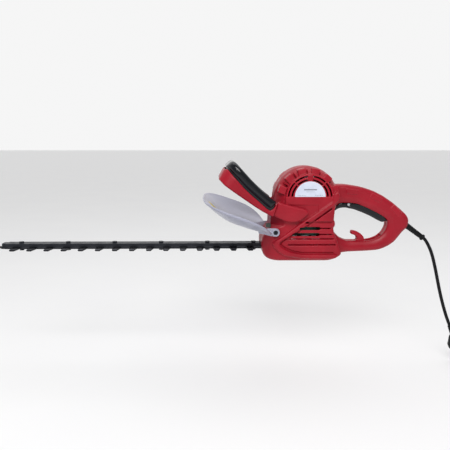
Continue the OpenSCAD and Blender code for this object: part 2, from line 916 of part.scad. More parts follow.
spacer_at = [[-76, 22], [-76, -22], [20, 26], [20, -26]];

module plate_spacers() color(steel) at_grip()
    for (p = spacer_at)
        z_rod(p[0], p[1], 3.5, 13, 33);

function side_teeth(s) =
    [for (i = [0 : teeth - 1])
        let (x = first_tooth_x + tooth_pitch * i)
        for (p = [[-root_half, blade_half_w], [-tip_half, tooth_reach],
                  [tip_half, tooth_reach], [root_half, blade_half_w]])
            [x + p[0], s * p[1]]];

function reversed(p) = [for (i = [len(p) - 1 : -1 : 0]) p[i]];

yoke_front_x = gear_x - yoke_half_x - yoke_rim;
yoke_back_x = gear_x + yoke_half_x + yoke_rim;
yoke_out = yoke_half_y + yoke_rim;

blade_points = concat(
    [[blade_tip_x, 0], [blade_tip_x + 9, 9], [-588, blade_half_w]],
    side_teeth(1),
    [[yoke_front_x, blade_half_w], [yoke_front_x, yoke_out], [yoke_back_x, yoke_out],
     [yoke_back_x, -yoke_out], [yoke_front_x, -yoke_out], [yoke_front_x, -blade_half_w]],
    reversed(side_teeth(-1)),
    [[-588, -blade_half_w], [blade_tip_x + 9, -9]]
);

module slot(x, half_len, r) {
    translate([x - half_len, -r]) square([2 * half_len, 2 * r]);
    for (s = [-1, 1]) translate([x + s * half_len, 0]) circle(r);
}

module yoke_window() {
    corner = 10;
    hx = yoke_half_x;
    hy = yoke_half_y;
    translate([gear_x, 0]) {
        square([2 * hx, 2 * (hy - corner)], center = true);
        square([2 * (hx - corner), 2 * hy], center = true);
        for (a = [-1, 1], b = [-1, 1]) translate([a * (hx - corner), b * (hy - corner)]) circle(corner);
    }
}

module blade(z)
    translate([0, 0, z])
        linear_extrude(blade_t)
            difference() {
                polygon(blade_points);
                for (i = [0 : bolt_count - 1])
                    slot(first_bolt_x + bolt_pitch * i, half_stroke + 0.3, bolt_r + run_fit);
                yoke_window();
            }

module upper_blade() color([0.16, 0.17, 0.18]) at_grip() blade(upper_blade_z);

module lower_blade() color([0.16, 0.17, 0.18]) at_grip() blade(lower_blade_z);

module guide_bar() color(black) at_grip()
    difference() {
        union() {
            box(bar_tip_x + 8, bar_end_x, -blade_half_w, blade_half_w, bar_z, bar_top_z);
            box(bar_tip_x, bar_tip_x + 9, -8, 8, bar_z, bar_top_z);
            box(plate_front_x, bar_end_x, -28, 28, bar_z, bar_top_z);
        }
        for (i = [0 : bolt_count - 1])
            z_rod(first_bolt_x + bolt_pitch * i, 0, bolt_r + run_fit, 10, 40);
        for (i = [0, 1])
            z_rod(spacer_at[i][0], spacer_at[i][1], 3.5 + run_fit, 10, 40);
    }

module blade_bolts() color([0.2, 0.2, 0.22]) at_grip()
    for (i = [0 : bolt_count - 1]) {
        z_rod(first_bolt_x + bolt_pitch * i, 0, bolt_r, 14.4, bar_top_z);
        z_rod(first_bolt_x + bolt_pitch * i, 0, 4.6, bar_top_z, bar_top_z + 2.6);
    }

module blade_nuts() color([0.3, 0.3, 0.32]) at_grip()
    for (i = [0 : bolt_count - 1])
        translate([first_bolt_x + bolt_pitch * i, 0, 14.6])
            difference() {
                cylinder(r = 4.6, h = 3.9, $fn = 6);
                translate([0, 0, -1]) cylinder(r = bolt_r, h = 6);
            }

module felt_wiper() color([0.35, 0.35, 0.33]) at_grip()
    box(-86, -82, -11, 11, 14.5, lower_blade_z - 0.2);

left_shell();
right_shell();
left_label();
right_label();
housing_screws();
front_handle();
front_switch_bar();
bar_pivot_pins();
front_handle_screws();
front_microswitch();
front_switch_plunger();
guard();
guard_screws();
guard_stop();
trigger();
trigger_pin();
rear_switch();
rear_switch_plunger();
cord_clamp();
cord_clamp_screws();
internal_lead();
strain_relief();
cord();
plug();
plug_pins();
stator_core();
field_windings();
armature_core();
armature_windings();
commutator();
motor_shaft();
motor_fan();
upper_bearing();
lower_bearing();
brush_holders();
carbon_brushes();
pinion();
drive_gear();
gear_cams();
gear_spindle();
gear_plate();
base_plate();
plate_spacers();
upper_blade();
lower_blade();
guide_bar();
blade_bolts();
blade_nuts();
felt_wiper();
capacitor();
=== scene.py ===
"""The looks of the hedge trimmer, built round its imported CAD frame.

Shapes are described in the design's own millimetres: x = 0 is the motor's axis, y = 0 the seam and
z = 0 the flat base. place() turns them into the frame's metres, whose origin is in the rear grip.
"""

import json
import math

import bpy
import numpy as np
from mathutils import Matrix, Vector
from mathutils.geometry import tessellate_polygon


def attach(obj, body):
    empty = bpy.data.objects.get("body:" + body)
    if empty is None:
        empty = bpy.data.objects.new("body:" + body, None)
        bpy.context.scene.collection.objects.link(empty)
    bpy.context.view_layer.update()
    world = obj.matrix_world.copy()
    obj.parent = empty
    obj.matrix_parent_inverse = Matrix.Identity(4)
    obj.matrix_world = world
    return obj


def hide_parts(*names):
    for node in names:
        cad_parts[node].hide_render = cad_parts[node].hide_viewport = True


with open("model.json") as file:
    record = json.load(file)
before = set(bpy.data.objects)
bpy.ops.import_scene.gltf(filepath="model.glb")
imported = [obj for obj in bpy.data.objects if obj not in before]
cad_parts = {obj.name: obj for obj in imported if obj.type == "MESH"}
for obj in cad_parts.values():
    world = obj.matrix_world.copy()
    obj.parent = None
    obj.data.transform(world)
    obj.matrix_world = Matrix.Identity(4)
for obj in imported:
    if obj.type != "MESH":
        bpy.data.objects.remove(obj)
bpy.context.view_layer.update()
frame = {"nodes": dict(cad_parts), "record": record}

GRIP = np.array([125.0, 0.0, 115.0])  # the frame's origin, in the design's millimetres
LEFT, RIGHT = -1, 1


def place(points):
    """Design millimetres to frame metres."""
    return (np.asarray(points, float) - GRIP) / 1000


# ---- Camera ----------------------------------------------------------------------


def make_camera():
    """The photo's view: nearly square to the side and a little above it."""
    target = place([-159, 0, 64.15])
    azimuth, elevation, distance = math.radians(-1), math.radians(9), 1.0
    back = Vector((
        math.sin(azimuth) * math.cos(elevation),
        -math.cos(azimuth) * math.cos(elevation),
        math.sin(elevation),
    ))
    data = bpy.data.cameras.new("camera")
    data.lens, data.sensor_width = 40, 36
    data.clip_start, data.clip_end = 0.05, 50
    camera = bpy.data.objects.new("camera", data)
    camera.location = Vector(target) + back * distance
    camera.rotation_euler = (-back).to_track_quat("-Z", "Y").to_euler()
    bpy.context.scene.collection.objects.link(camera)
    bpy.context.scene.camera = camera


make_camera()

# ---- Materials -------------------------------------------------------------------


def socket(node, name, value):
    """Set one input of a node."""
    node.inputs[name].default_value = value


def new_material(name):
    """A material, with its nodes, links, shader and the object's coordinates."""
    material = bpy.data.materials.new(name)
    material.use_nodes = True
    nodes, links = material.node_tree.nodes, material.node_tree.links
    shader = nodes["Principled BSDF"]
    where = nodes.new("ShaderNodeTexCoord").outputs["Object"]
    return material, nodes, links, shader, where


def noise(nodes, links, where, scale, detail=3.0, stretch=(1, 1, 1)):
    """Noise that can be stretched along an axis into streaks."""
    mapping = nodes.new("ShaderNodeMapping")
    socket(mapping, "Scale", stretch)
    links.new(where, mapping.inputs["Vector"])
    texture = nodes.new("ShaderNodeTexNoise")
    socket(texture, "Scale", scale)
    socket(texture, "Detail", detail)
    links.new(mapping.outputs["Vector"], texture.inputs["Vector"])
    return texture.outputs["Fac"]


def span(nodes, links, value, low, high, out_low, out_high):
    """A value's range turned into another range."""
    node = nodes.new("ShaderNodeMapRange")
    for name, number in (("From Min", low), ("From Max", high), ("To Min", out_low), ("To Max", out_high)):
        socket(node, name, number)
    links.new(value, node.inputs["Value"])
    return node.outputs["Result"]


def blend_colour(nodes, links, share, a, b):
    """A mix from a to b, each a plain colour or another node's colour."""
    node = nodes.new("ShaderNodeMix")
    node.data_type = "RGBA"
    for index, colour in ((6, a), (7, b)):
        if isinstance(colour, tuple):
            node.inputs[index].default_value = (*colour, 1)
        else:
            links.new(colour, node.inputs[index])
    links.new(share, node.inputs[0])
    return node.outputs[2]


def bump(nodes, links, shader, height, depth):
    """Fine relief in the shading, depth in metres."""
    node = nodes.new("ShaderNodeBump")
    socket(node, "Distance", depth)
    links.new(height, node.inputs["Height"])
    links.new(node.outputs["Normal"], shader.inputs["Normal"])


def edge_share(nodes, links, low=0.52, high=0.60):
    """0 on faces and 1 on sharp outward edges."""
    return span(nodes, links, nodes.new("ShaderNodeNewGeometry").outputs["Pointiness"], low, high, 0, 1)


def moulded(name, colour, rough, grain=2600, depth=0.00006, edge=1.35, shine=0.4):
    """Moulded plastic or rubber: fine grain, slow colour drift, rubbed edges and uneven gloss."""
    material, nodes, links, shader, where = new_material(name)
    dark = tuple(c * 0.88 for c in colour)
    light = tuple(min(1, c * 1.12 + 0.002) for c in colour)
    worn = tuple(min(1, c * edge) for c in colour)
    drift = span(nodes, links, noise(nodes, links, where, 22, 4), 0.3, 0.7, 0, 1)
    base = blend_colour(nodes, links, drift, dark, light)
    rubbed = blend_colour(nodes, links, edge_share(nodes, links), base, worn)
    links.new(rubbed, shader.inputs["Base Color"])
    smear = noise(nodes, links, where, 60, 5, (1, 1, 2.5))
    links.new(span(nodes, links, smear, 0.3, 0.7, rough - 0.07, rough + 0.09), shader.inputs["Roughness"])
    bump(nodes, links, shader, noise(nodes, links, where, grain, 2), depth)
    socket(shader, "Specular IOR Level", shine)
    return material


def metal(name, colour, rough, stretch=(1, 1, 1), scale=900, depth=0.00003, spread=0.16):
    """Machined or plated metal: brushed streaks along one direction, and brighter worn edges."""
    material, nodes, links, shader, where = new_material(name)
    streaks = noise(nodes, links, where, scale, 4, stretch)
    dark = tuple(c * (1 - spread) for c in colour)
    light = tuple(min(1, c * (1 + spread)) for c in colour)
    base = blend_colour(nodes, links, span(nodes, links, streaks, 0.35, 0.65, 0, 1), dark, light)
    worn = tuple(min(1, c * 1.3 + 0.03) for c in colour)
    links.new(blend_colour(nodes, links, edge_share(nodes, links), base, worn), shader.inputs["Base Color"])
    socket(shader, "Metallic", 1.0)
    smear = noise(nodes, links, where, 45, 4)
    links.new(span(nodes, links, smear, 0.3, 0.7, rough - 0.06, rough + 0.1), shader.inputs["Roughness"])
    bump(nodes, links, shader, streaks, depth)
    return material


def wound(name, colour, rough, pitch, metallic=0.0):
    """Enamelled wire laid in turns: fine rounded ridges, a little uneven, with painted shade darkening the
    grooves between the turns.
    """
    material, nodes, links, shader, where = new_material(name)
    wave = nodes.new("ShaderNodeTexWave")
    wave.bands_direction = "Z"
    socket(wave, "Scale", 0.314 / pitch)
    socket(wave, "Distortion", 1.2)
    socket(wave, "Detail Scale", 40)
    links.new(where, wave.inputs["Vector"])
    # dark is painted shade: the colour falls to 0.45 in the grooves between the turns, where the bump dips.
    dark = tuple(c * 0.45 for c in colour)
    links.new(blend_colour(nodes, links, wave.outputs["Fac"], dark, colour), shader.inputs["Base Color"])
    socket(shader, "Metallic", metallic)
    smear = noise(nodes, links, where, 90)
    links.new(span(nodes, links, smear, 0.3, 0.7, rough - 0.05, rough + 0.1), shader.inputs["Roughness"])
    bump(nodes, links, shader, wave.outputs["Fac"], pitch * 0.3)
    return material


def milky_plastic(name):
    """The guard's pale milky plastic, with faint flow marks and fine scuffs."""
    material, nodes, links, shader, where = new_material(name)
    drift = span(nodes, links, noise(nodes, links, where, 14, 3), 0.3, 0.7, 0, 1)
    base = blend_colour(nodes, links, drift, (0.345, 0.35, 0.44), (0.37, 0.375, 0.465))
    links.new(base, shader.inputs["Base Color"])
    scuffs = noise(nodes, links, where, 90, 3, (1, 0.15, 1))
    links.new(span(nodes, links, scuffs, 0.35, 0.7, 0.28, 0.33), shader.inputs["Roughness"])
    socket(shader, "Specular IOR Level", 0.4)
    bump(nodes, links, shader, noise(nodes, links, where, 9, 0), 0.0002)
    return material


def blackened(name, colour, rough):
    """Black-oxide or painted steel with sparse fine scratches."""
    material, nodes, links, shader, where = new_material(name)
    scratch = noise(nodes, links, where, 700, 6, (0.04, 1, 1))
    marks = span(nodes, links, scratch, 0.62, 0.72, 0, 0.55)
    base = blend_colour(nodes, links, marks, colour, (0.05, 0.052, 0.058))
    links.new(
        blend_colour(nodes, links, edge_share(nodes, links, 0.52, 0.58), base, (0.022, 0.024, 0.030)),
        shader.inputs["Base Color"],
    )
    socket(shader, "Specular IOR Level", 0.12)
    smear = noise(nodes, links, where, 80, 4)
    links.new(span(nodes, links, smear, 0.3, 0.7, rough - 0.06, rough + 0.12), shader.inputs["Roughness"])
    bump(nodes, links, shader, scratch, 0.00002)
    return material


def label_film(name):
    """A pale satin film with plain neutral marks: a bar, a fine line and two short rows of dashes."""
    material, nodes, links, shader, where = new_material(name)
    split = nodes.new("ShaderNodeSeparateXYZ")
    links.new(where, split.inputs["Vector"])

    def maths(kind, a, b):
        """A maths node on two values, each a number or another node's output."""
        node = nodes.new("ShaderNodeMath")
        node.operation = kind
        for index, value in enumerate((a, b)):
            if isinstance(value, (int, float)):
                node.inputs[index].default_value = value
            else:
                links.new(value, node.inputs[index])
        return node.outputs[0]

    def band(value, middle, half):
        """1 within half of the middle and 0 elsewhere."""
        return maths("LESS_THAN", maths("ABSOLUTE", maths("SUBTRACT", value, middle), 0), half)

    x, z = split.outputs["X"], split.outputs["Z"]
    middle_x, _, foot_z = place([0.7, 0, 125.6])
    from_middle = maths("ABSOLUTE", maths("SUBTRACT", x, middle_x), 0)
    dash = maths("LESS_THAN", maths("FRACT", maths("MULTIPLY", x, 320), 0), 0.72)
    low_line = maths("MULTIPLY", band(z, foot_z + 0.0030, 0.0004), band(from_middle, 0.0165, 0.0075))
    low_line = maths("MULTIPLY", low_line, dash)
    title = maths("MULTIPLY", band(z, foot_z + 0.0135, 0.0013), band(from_middle, 0, 0.012))
    under = maths("MULTIPLY", band(z, foot_z + 0.0095, 0.0003), band(from_middle, 0, 0.008))
    marks = maths("MULTIPLY", maths("MINIMUM", maths("ADD", maths("ADD", low_line, title), under), 1), 0.9)
    drift = span(nodes, links, noise(nodes, links, where, 120, 3), 0.3, 0.7, 0, 1)
    film = blend_colour(nodes, links, drift, (0.60, 0.65, 0.78), (0.66, 0.71, 0.83))
    links.new(blend_colour(nodes, links, marks, film, (0.22, 0.23, 0.28)), shader.inputs["Base Color"])
    smear = noise(nodes, links, where, 200)
    links.new(span(nodes, links, smear, 0.3, 0.7, 0.25, 0.38), shader.inputs["Roughness"])
    bump(nodes, links, shader, smear, 0.00002)
    return material


finishes = {
    "red_plastic": moulded("red_plastic", (0.325, 0.0048, 0.0170), 0.36, edge=1.5, shine=0.28),
    "label_film": label_film("label_film"),
    "zinc_steel": metal("zinc_steel", (0.40, 0.41, 0.43), 0.40),
    "black_plastic": moulded("black_plastic", (0.0036, 0.0047, 0.0074), 0.16, depth=0.000006, edge=1.8),
    "plunger_plastic": moulded("plunger_plastic", (0.55, 0.52, 0.45), 0.45),
    "guard_plastic": milky_plastic("guard_plastic"),
    "black_steel": blackened("black_steel", (0.0035, 0.0038, 0.0052), 0.34),
    "rubber": moulded("rubber", (0.055, 0.07, 0.06), 0.72, grain=1500, depth=0.00015),
    "cord_rubber": moulded("cord_rubber", (0.0045, 0.0048, 0.006), 0.42, 1800, 0.00005, edge=2.0, shine=0.15),
    "nickel_plate": metal("nickel_plate", (0.72, 0.69, 0.62), 0.18, spread=0.05),
    "electrical_steel": metal("electrical_steel", (0.36, 0.37, 0.39), 0.42, (0.05, 0.05, 6), 700, 0.00008),
    "green_enamel_wire": wound("green_enamel_wire", (0.030, 0.19, 0.14), 0.3, 0.0011),
    "copper_wire": wound("copper_wire", (0.62, 0.26, 0.10), 0.3, 0.0007, 0.9),
    "copper_bar": metal("copper_bar", (0.72, 0.38, 0.22), 0.3, (1, 1, 8)),
    # Darker than bare ground steel: painted shade for the parts inside the housing that show through its
    # vents.
    "ground_steel": metal("ground_steel", (0.20, 0.20, 0.215), 0.36, (1, 1, 8)),
    "fan_plastic": moulded("fan_plastic", (0.045, 0.045, 0.05), 0.5),
    # Darker than bare brass: painted shade for the brass parts inside the housing that show through its
    # vents.
    "brass": metal("brass", (0.50, 0.35, 0.14), 0.38),
    "carbon": moulded("carbon", (0.02, 0.02, 0.02), 0.6),
    "gear_steel": metal("gear_steel", (0.42, 0.43, 0.45), 0.36),
    "plate_steel": metal("plate_steel", (0.55, 0.56, 0.58), 0.36, (0.08, 1, 1)),
    "blade_steel": blackened("blade_steel", (0.004, 0.0043, 0.006), 0.36),
    "felt": moulded("felt", (0.17, 0.16, 0.14), 0.9, grain=700, depth=0.0004),
    "capacitor_case": moulded("capacitor_case", (0.50, 0.36, 0.05), 0.3),
    "ground_edge": metal("ground_edge", (0.055, 0.057, 0.065), 0.38, (6, 0.1, 1), 700),
    "sticker": moulded("sticker", (0.56, 0.44, 0.008), 0.5, shine=0.2),
}

# ---- Cord ------------------------------------------------------------------------

CORD_ROUTE = [
    (241, 37), (244.2, 34.7), (248, 30), (251.5, 24.5), (255, 18), (258.5, 11), (264, -4), (269, -21),
    (273.5, -38), (278, -56), (283, -75), (288.5, -94), (295, -114), (302, -133), (309, -149),
]
CORD_D = 6.5
CORD_EXIT, EXIT_SLOPE = (203, 64.5), math.radians(36)  # where the sleeve leaves the housing, pointing down
cord_line = place([(x, 0, z) for x, z in CORD_ROUTE])


def smooth_line(points, steps):
    """Points along a Catmull-Rom curve through the given points."""
    p = np.vstack([2 * points[0] - points[1], points, 2 * points[-1] - points[-2]])
    out = []
    for a, b, c, d in zip(p, p[1:], p[2:], p[3:]):
        for t in np.arange(steps) / steps:
            out.append(0.5 * (2 * b + (c - a) * t + (2 * a - 5 * b + 4 * c - d) * t**2
                              + (3 * b - a - 3 * c + d) * t**3))
    return np.array(out + [points[-1]])


def make_cord():
    """The cord as a round curve along its route, and the route's length in metres."""
    line = smooth_line(cord_line, 6)
    data = bpy.data.curves.new("supply_cord", "CURVE")
    data.dimensions = "3D"
    data.bevel_depth = CORD_D / 2000
    data.bevel_resolution = 6
    data.use_fill_caps = True
    spline = data.splines.new("POLY")
    spline.points.add(len(line) - 1)
    for point, co in zip(spline.points, line):
        point.co = (*co, 1)
    cord = bpy.data.objects.new("supply_cord", data)
    data.materials.append(finishes["cord_rubber"])
    bpy.context.scene.collection.objects.link(cord)
    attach(cord, "tool")
    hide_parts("cord")
    return cord, float(np.linalg.norm(np.diff(line, axis=0), axis=1).sum())


supply_cord, cord_length = make_cord()

# ---- Mesh helpers ----------------------------------------------------------------


def add_mesh(name, vertices, faces, materials, body, nodes=(), indices=None, smooth=True):
    """A mesh in frame metres that rides on a body and stands for CAD nodes."""
    mesh = bpy.data.meshes.new(name)
    mesh.from_pydata([tuple(v) for v in np.asarray(vertices, float).tolist()], [],
                     [tuple(f) for f in (faces.tolist() if isinstance(faces, np.ndarray) else faces)])
    for material in materials:
        mesh.materials.append(finishes[material])
    if indices is not None:
        mesh.polygons.foreach_set("material_index", np.asarray(indices, np.int32))
    mesh.polygons.foreach_set("use_smooth", np.full(len(mesh.polygons), smooth))
    mesh.validate()
    mesh.update()
    piece = bpy.data.objects.new(name, mesh)
    bpy.context.scene.collection.objects.link(piece)
    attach(piece, body)
    if nodes:
        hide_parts(*nodes)
    return piece


class Block:
    """A block of sample points in design millimetres; x, y and z broadcast against each other."""

    def __init__(self, low, high, step):
        self.low, self.step = np.array(low, float), step
        axes = [np.arange(a, b + step, step, dtype=np.float32) for a, b in zip(low, high)]
        self.x, self.y, self.z = axes[0][:, None, None], axes[1][None, :, None], axes[2][None, None, :]
        self.shape = tuple(len(a) for a in axes)


def fillet(points, radius):
    """A closed outline with each corner cut back by up to radius and bridged with a curve."""
    steps = 4
    p = np.array(points, float)
    out = []
    for before, here, after in zip(np.roll(p, 1, 0), p, np.roll(p, -1, 0)):
        ends = []
        for other in (before, after):
            length = np.linalg.norm(other - here)
            ends.append(here + (other - here) * min(radius, 0.45 * length) / length)
        for t in np.linspace(0, 1, steps + 1):
            out.append((1 - t) ** 2 * ends[0] + 2 * t * (1 - t) * here + t**2 * ends[1])
    return np.array(out)


def outline(block, points):
    """Signed distance in XZ to a closed outline, negative inside."""
    p = np.array(points, np.float32)
    x, z = block.x, block.z
    best = np.full((block.shape[0], 1, block.shape[2]), 1e9, np.float32)
    inside = np.zeros(best.shape, bool)
    for (ax, az), (bx, bz) in zip(p, np.roll(p, -1, 0)):
        ex, ez = bx - ax, bz - az
        t = np.clip(((x - ax) * ex + (z - az) * ez) / max(ex * ex + ez * ez, 1e-9), 0, 1)
        best = np.minimum(best, (x - ax - t * ex) ** 2 + (z - az - t * ez) ** 2)
        if az != bz:
            inside ^= ((az > z) != (bz > z)) & (x < ex * (z - az) / ez + ax)
    return np.where(inside, -1, 1) * np.sqrt(best)


def cross(a, b, radius):
    """The part inside both a and b, with the edge between them rounded."""
    u, v = np.maximum(a + radius, 0), np.maximum(b + radius, 0)
    return np.sqrt(u * u + v * v) + np.minimum(np.maximum(a, b) + radius, 0) - radius


def join(a, b, soft):
    """The part inside either a or b, with a soft valley between them."""
    h = np.maximum(soft - np.abs(a - b), 0) / soft
    return np.minimum(a, b) - h * h * soft / 4


def carve(a, b, soft):
    """a without b, with a soft edge between them."""
    h = np.maximum(soft - np.abs(a + b), 0) / soft
    return np.maximum(a, -b) + h * h * soft / 4


def rod_y(block, x, z, radius):
    """A rod across the tool."""
    return np.hypot(block.x - x, block.z - z) - radius


def bar_xz(block, x0, x1, z0, z1, rounding):
    """A rectangle in XZ."""
    a = np.abs(block.x - (x0 + x1) / 2) - (x1 - x0) / 2
    b = np.abs(block.z - (z0 + z1) / 2) - (z1 - z0) / 2
    return cross(a, b, rounding)


def tilted_bar(block, x, z, half_long, half_short, degrees):
    """A rectangle in XZ about a middle point, turned by some degrees."""
    c, s = math.cos(math.radians(degrees)), math.sin(math.radians(degrees))
    along = (block.x - x) * c + (block.z - z) * s
    over = (block.z - z) * c - (block.x - x) * s
    return cross(np.abs(along) - half_long, np.abs(over) - half_short, 1.0)


def net(block, field):
    """Surface net of a field's zero level: vertices in design millimetres, and quads."""
    f = np.ascontiguousarray(np.broadcast_to(field, block.shape), np.float32)
    inside = f < 0
    corners = [(i, j, k) for i in (0, 1) for j in (0, 1) for k in (0, 1)]
    n = block.shape

    def shifted(a, c):
        """Each cell's value at one of its corners."""
        return a[c[0]:n[0] - 1 + c[0], c[1]:n[1] - 1 + c[1], c[2]:n[2] - 1 + c[2]]

    count = sum(shifted(inside, c).astype(np.uint8) for c in corners)
    cells = np.argwhere((count > 0) & (count < 8))
    index = np.full(tuple(m - 1 for m in n), -1, np.int64)
    index[tuple(cells.T)] = np.arange(len(cells))
    values = np.stack([f[tuple((cells + c).T)] for c in corners], 1)
    # A vertex in each mixed cell, at the mean of the places where the field changes sign on its edges
    total, hits = np.zeros((len(cells), 3)), np.zeros((len(cells), 1))
    for i, a in enumerate(corners):
        for j, b in enumerate(corners):
            if j > i and sum(u != v for u, v in zip(a, b)) == 1:
                va, vb = values[:, i], values[:, j]
                on = (va < 0) != (vb < 0)
                t = np.where(on, va / np.where(on, va - vb, 1), 0)[:, None]
                total += (np.array(a) + t * (np.array(b) - np.array(a))) * on[:, None]
                hits += on[:, None]
    vertices = block.low + (cells + total / hits) * block.step
    # A quad round each grid edge that the surface crosses
    quads = []
    for axis in range(3):
        u, v = (axis + 1) % 3, (axis + 2) % 3
        a = np.take(inside, range(n[axis] - 1), axis)
        b = np.take(inside, range(1, n[axis]), axis)
        edges = np.argwhere(a != b)
        across = edges[:, [u, v]]
        edges = edges[((across > 0) & (across < np.array([n[u], n[v]]) - 1)).all(1)]
        flip = ~a[tuple(edges.T)]
        ring = []
        for du, dv in ((0, 0), (1, 0), (1, 1), (0, 1)):
            cell = edges.copy()
            cell[:, u] -= du
            cell[:, v] -= dv
            ring.append(index[tuple(cell.T)])
        ring = np.stack(ring, 1)
        ring[flip] = ring[flip][:, ::-1]
        quads.append(ring)
    return vertices, np.concatenate(quads)


def relaxed(vertices, quads, rounds):
    """Taubin smoothing, which takes the grid's steps out of a net and keeps its size."""
    ends = np.concatenate([quads[:, [i, (i + 1) % 4]] for i in range(4)])
    count = np.maximum(np.bincount(ends[:, 0], minlength=len(vertices)), 1)
    for push in [0.5, -0.53] * rounds:
        mean = [np.bincount(ends[:, 0], vertices[ends[:, 1], k], len(vertices)) / count for k in range(3)]
        vertices = vertices + push * (np.stack(mean, 1) - vertices)
    return vertices, quads


def mirrored(vertices, faces):
    """The other side's mesh: Y changes sign and the faces turn round."""
    return vertices * np.array([1, -1, 1]), faces[:, ::-1]


def lathe(profile, start, direction, sides=48):
    """A body of revolution: (distance along the axis, radius) points, closed at both ends."""
    axis = Vector(direction).normalized()
    u = axis.orthogonal().normalized()
    v = axis.cross(u)
    rings, points = len(profile), []
    for along, radius in profile:
        for k in range(sides):
            t = 2 * math.pi * k / sides
            spoke = u * math.cos(t) + v * math.sin(t)
            points.append(Vector(start) + axis * along + spoke * max(radius, 0.02))
    faces = [
        (i * sides + k, i * sides + (k + 1) % sides, (i + 1) * sides + (k + 1) % sides, (i + 1) * sides + k)
        for i in range(rings - 1) for k in range(sides)
    ]
    faces.append(tuple(range(sides))[::-1])
    faces.append(tuple((rings - 1) * sides + k for k in range(sides)))
    return place([tuple(p) for p in points]), faces


# ---- Housing ---------------------------------------------------------------------

# Outlines are closed loops of (x, z) points.
BODY = [
    (-58, 0), (-72, 2.5), (-80, 6), (-86, 13), (-88, 24), (-88.5, 38), (-86, 49), (-79, 58), (-72, 65),
    (-71, 88), (-66, 104), (-50, 118), (44, 118), (50, 92), (48.8, 79.5), (51, 77), (51.6, 72),
    (50.8, 67.5), (48.6, 65.5), (49, 60), (52, 50), (59, 34), (66, 15), (62, 9.5), (53, 4), (41, 0),
]
FACE = [(-46, 126), (-44, 78.2), (44, 78.2), (48, 92), (50, 126)]
HANDLE = [
    (30, 146), (76, 146), (96, 143.2), (112, 140), (132, 133.5), (152, 123.5), (173, 109.5), (188, 97),
    (200, 86.5), (205.5, 78), (206, 69), (203, 59), (195, 52), (189, 44), (180, 32), (169, 23.5),
    (156, 17.2), (144, 14), (121, 12.4), (103, 11.7), (86, 11), (62, 7.6), (30, 8),
]
LOOP = [
    (48.6, 94), (53, 100), (60, 105), (69, 109), (82, 109), (101, 107), (119, 99.5), (140, 89.5),
    (157, 79.5), (164, 72), (163.5, 62), (158, 50), (148, 40.5), (135, 35.4), (120, 33.2), (84, 33.4),
    (69, 39.8), (58, 51), (50, 65), (47, 78),
]
HOOK = [
    (127, 26), (121.5, 32), (119.5, 40), (113.5, 46.5), (107, 50.6), (101, 52.6), (94, 53.2),
    (93.4, 46), (101, 44), (104.4, 41), (105.6, 36.5), (102, 30), (101, 24),
]
ARM_POCKET = [(121, 42), (153, 50), (154, 41), (148, 35.5), (138, 30.5), (126, 28.5), (121, 29.5)]
RIB = [
    (52.5, 136.5), (44.5, 131), (43, 117), (-17, 74.5), (-50, 50), (-66.5, 39), (-69.5, 35), (-66, 28),
    (-58, 19.5), (-44, 11.5), (-15, 6.5), (20, 5), (52, 6), (58, 12), (50, 14.5), (-12, 15), (-30, 18.5),
    (-44, 24.5), (-53, 31), (-55.5, 35.5), (-52, 40), (-12, 65), (46, 107), (56, 118), (58, 127),
]
RIB_INSIDE = [
    (43, 105), (-12, 65), (-52, 40), (-55.5, 35.5), (-53, 31), (-44, 24.5), (-30, 18.5), (-12, 15),
    (50, 14.5), (44, 30),
]
TRIGGER_POCKET = [
    (52.6, 90), (52.4, 96.5), (56, 103), (68.5, 111.2), (101, 112.8), (119.5, 110.2), (141.5, 102),
    (159, 93.8), (166.8, 83), (164.6, 74.5), (162.2, 70.5), (150, 60), (60, 80),
]
DOME_X, DOME_Z, DOME_R = -2, 120.5, 62
RING_X, RING_Z, RING_R = 0.7, 123.2, 45.4
VENT_ROWS = [(33.9, 1.5), (40.8, 1.4)]  # radius and half width
PADS = range(20, 161, 28)  # the raised pads round the dome, in degrees
LOUVRES = [(-18, 22, 64.2), (-31, 21, 52.4)]  # from x, to x, and the middle's z
GROOVES = [(22, 46, 64.2), (21, 49, 52.4), (-41, 50, 43.6), (-39, 54, 32.2)]
HOUSING_SCREWS = [(-79, 43.5), (-60, 108), (56, 20), (46, 112), (150, 26), (192, 76), (88, 130)]
SCREW_BOSS_R, SCREW_HEAD_R = 5.2, 4.5
GUARD_PIVOT = (-63.5, 57.3)
GRIP_PADS = [(89.5, 132, -5), (137, 119.5, -27), (178.2, 94.3, -44)]
WALL = 3.0
# How far each feature reaches out from the seam
BODY_OUT, DOME_OUT, FACE_OUT, BRIDGE_OUT, RIB_OUT = 48, 45.5, 52, 53, 54.6
GRIP_OUT, PAD_OUT, HOOK_OUT, POCKET_OUT = 17, 18.1, 7, 9
VENT_FLOOR = 36  # the cuts for air start this far from the seam, inside the wall
TRIGGER_HALF = 11
BODY_HEAD, GRIP_HEAD = 40, 13  # how far out from the seam a screw's recess starts
GRIP_FROM = 70  # the screws past this x are in the grip


def dome_field(block, out):
    """The motor cap: a cylinder across the tool whose shoulder curves in to the face ring."""
    rho = np.hypot(block.x - DOME_X, block.z - DOME_Z)
    share = np.clip((out - 16) / 43.3, 0, 0.97)
    dome = (rho - DOME_R * np.sqrt(1 - share * share)) * 0.86
    dome = cross(dome, out - DOME_OUT, 1.5)
    angle = np.degrees(np.arctan2(block.z - DOME_Z, block.x - DOME_X))
    for pad in PADS:
        side = np.abs(angle - pad) * np.radians(1) * rho - 7.4
        ends = np.abs(rho - 52.2) - 7.0
        top = out - 49 + 0.10 * (rho - 46)
        dome = join(dome, np.maximum(cross(side, top, 0.9), cross(ends, top, 0.9)), 0.6)
        # A short recess beside each pad
        gap = np.maximum(np.abs(angle - pad + 10.6) * np.radians(1) * rho - 2.0, ends + 0.3)
        dome = carve(dome, np.maximum(gap, 34 - out), 0.8)
    return dome


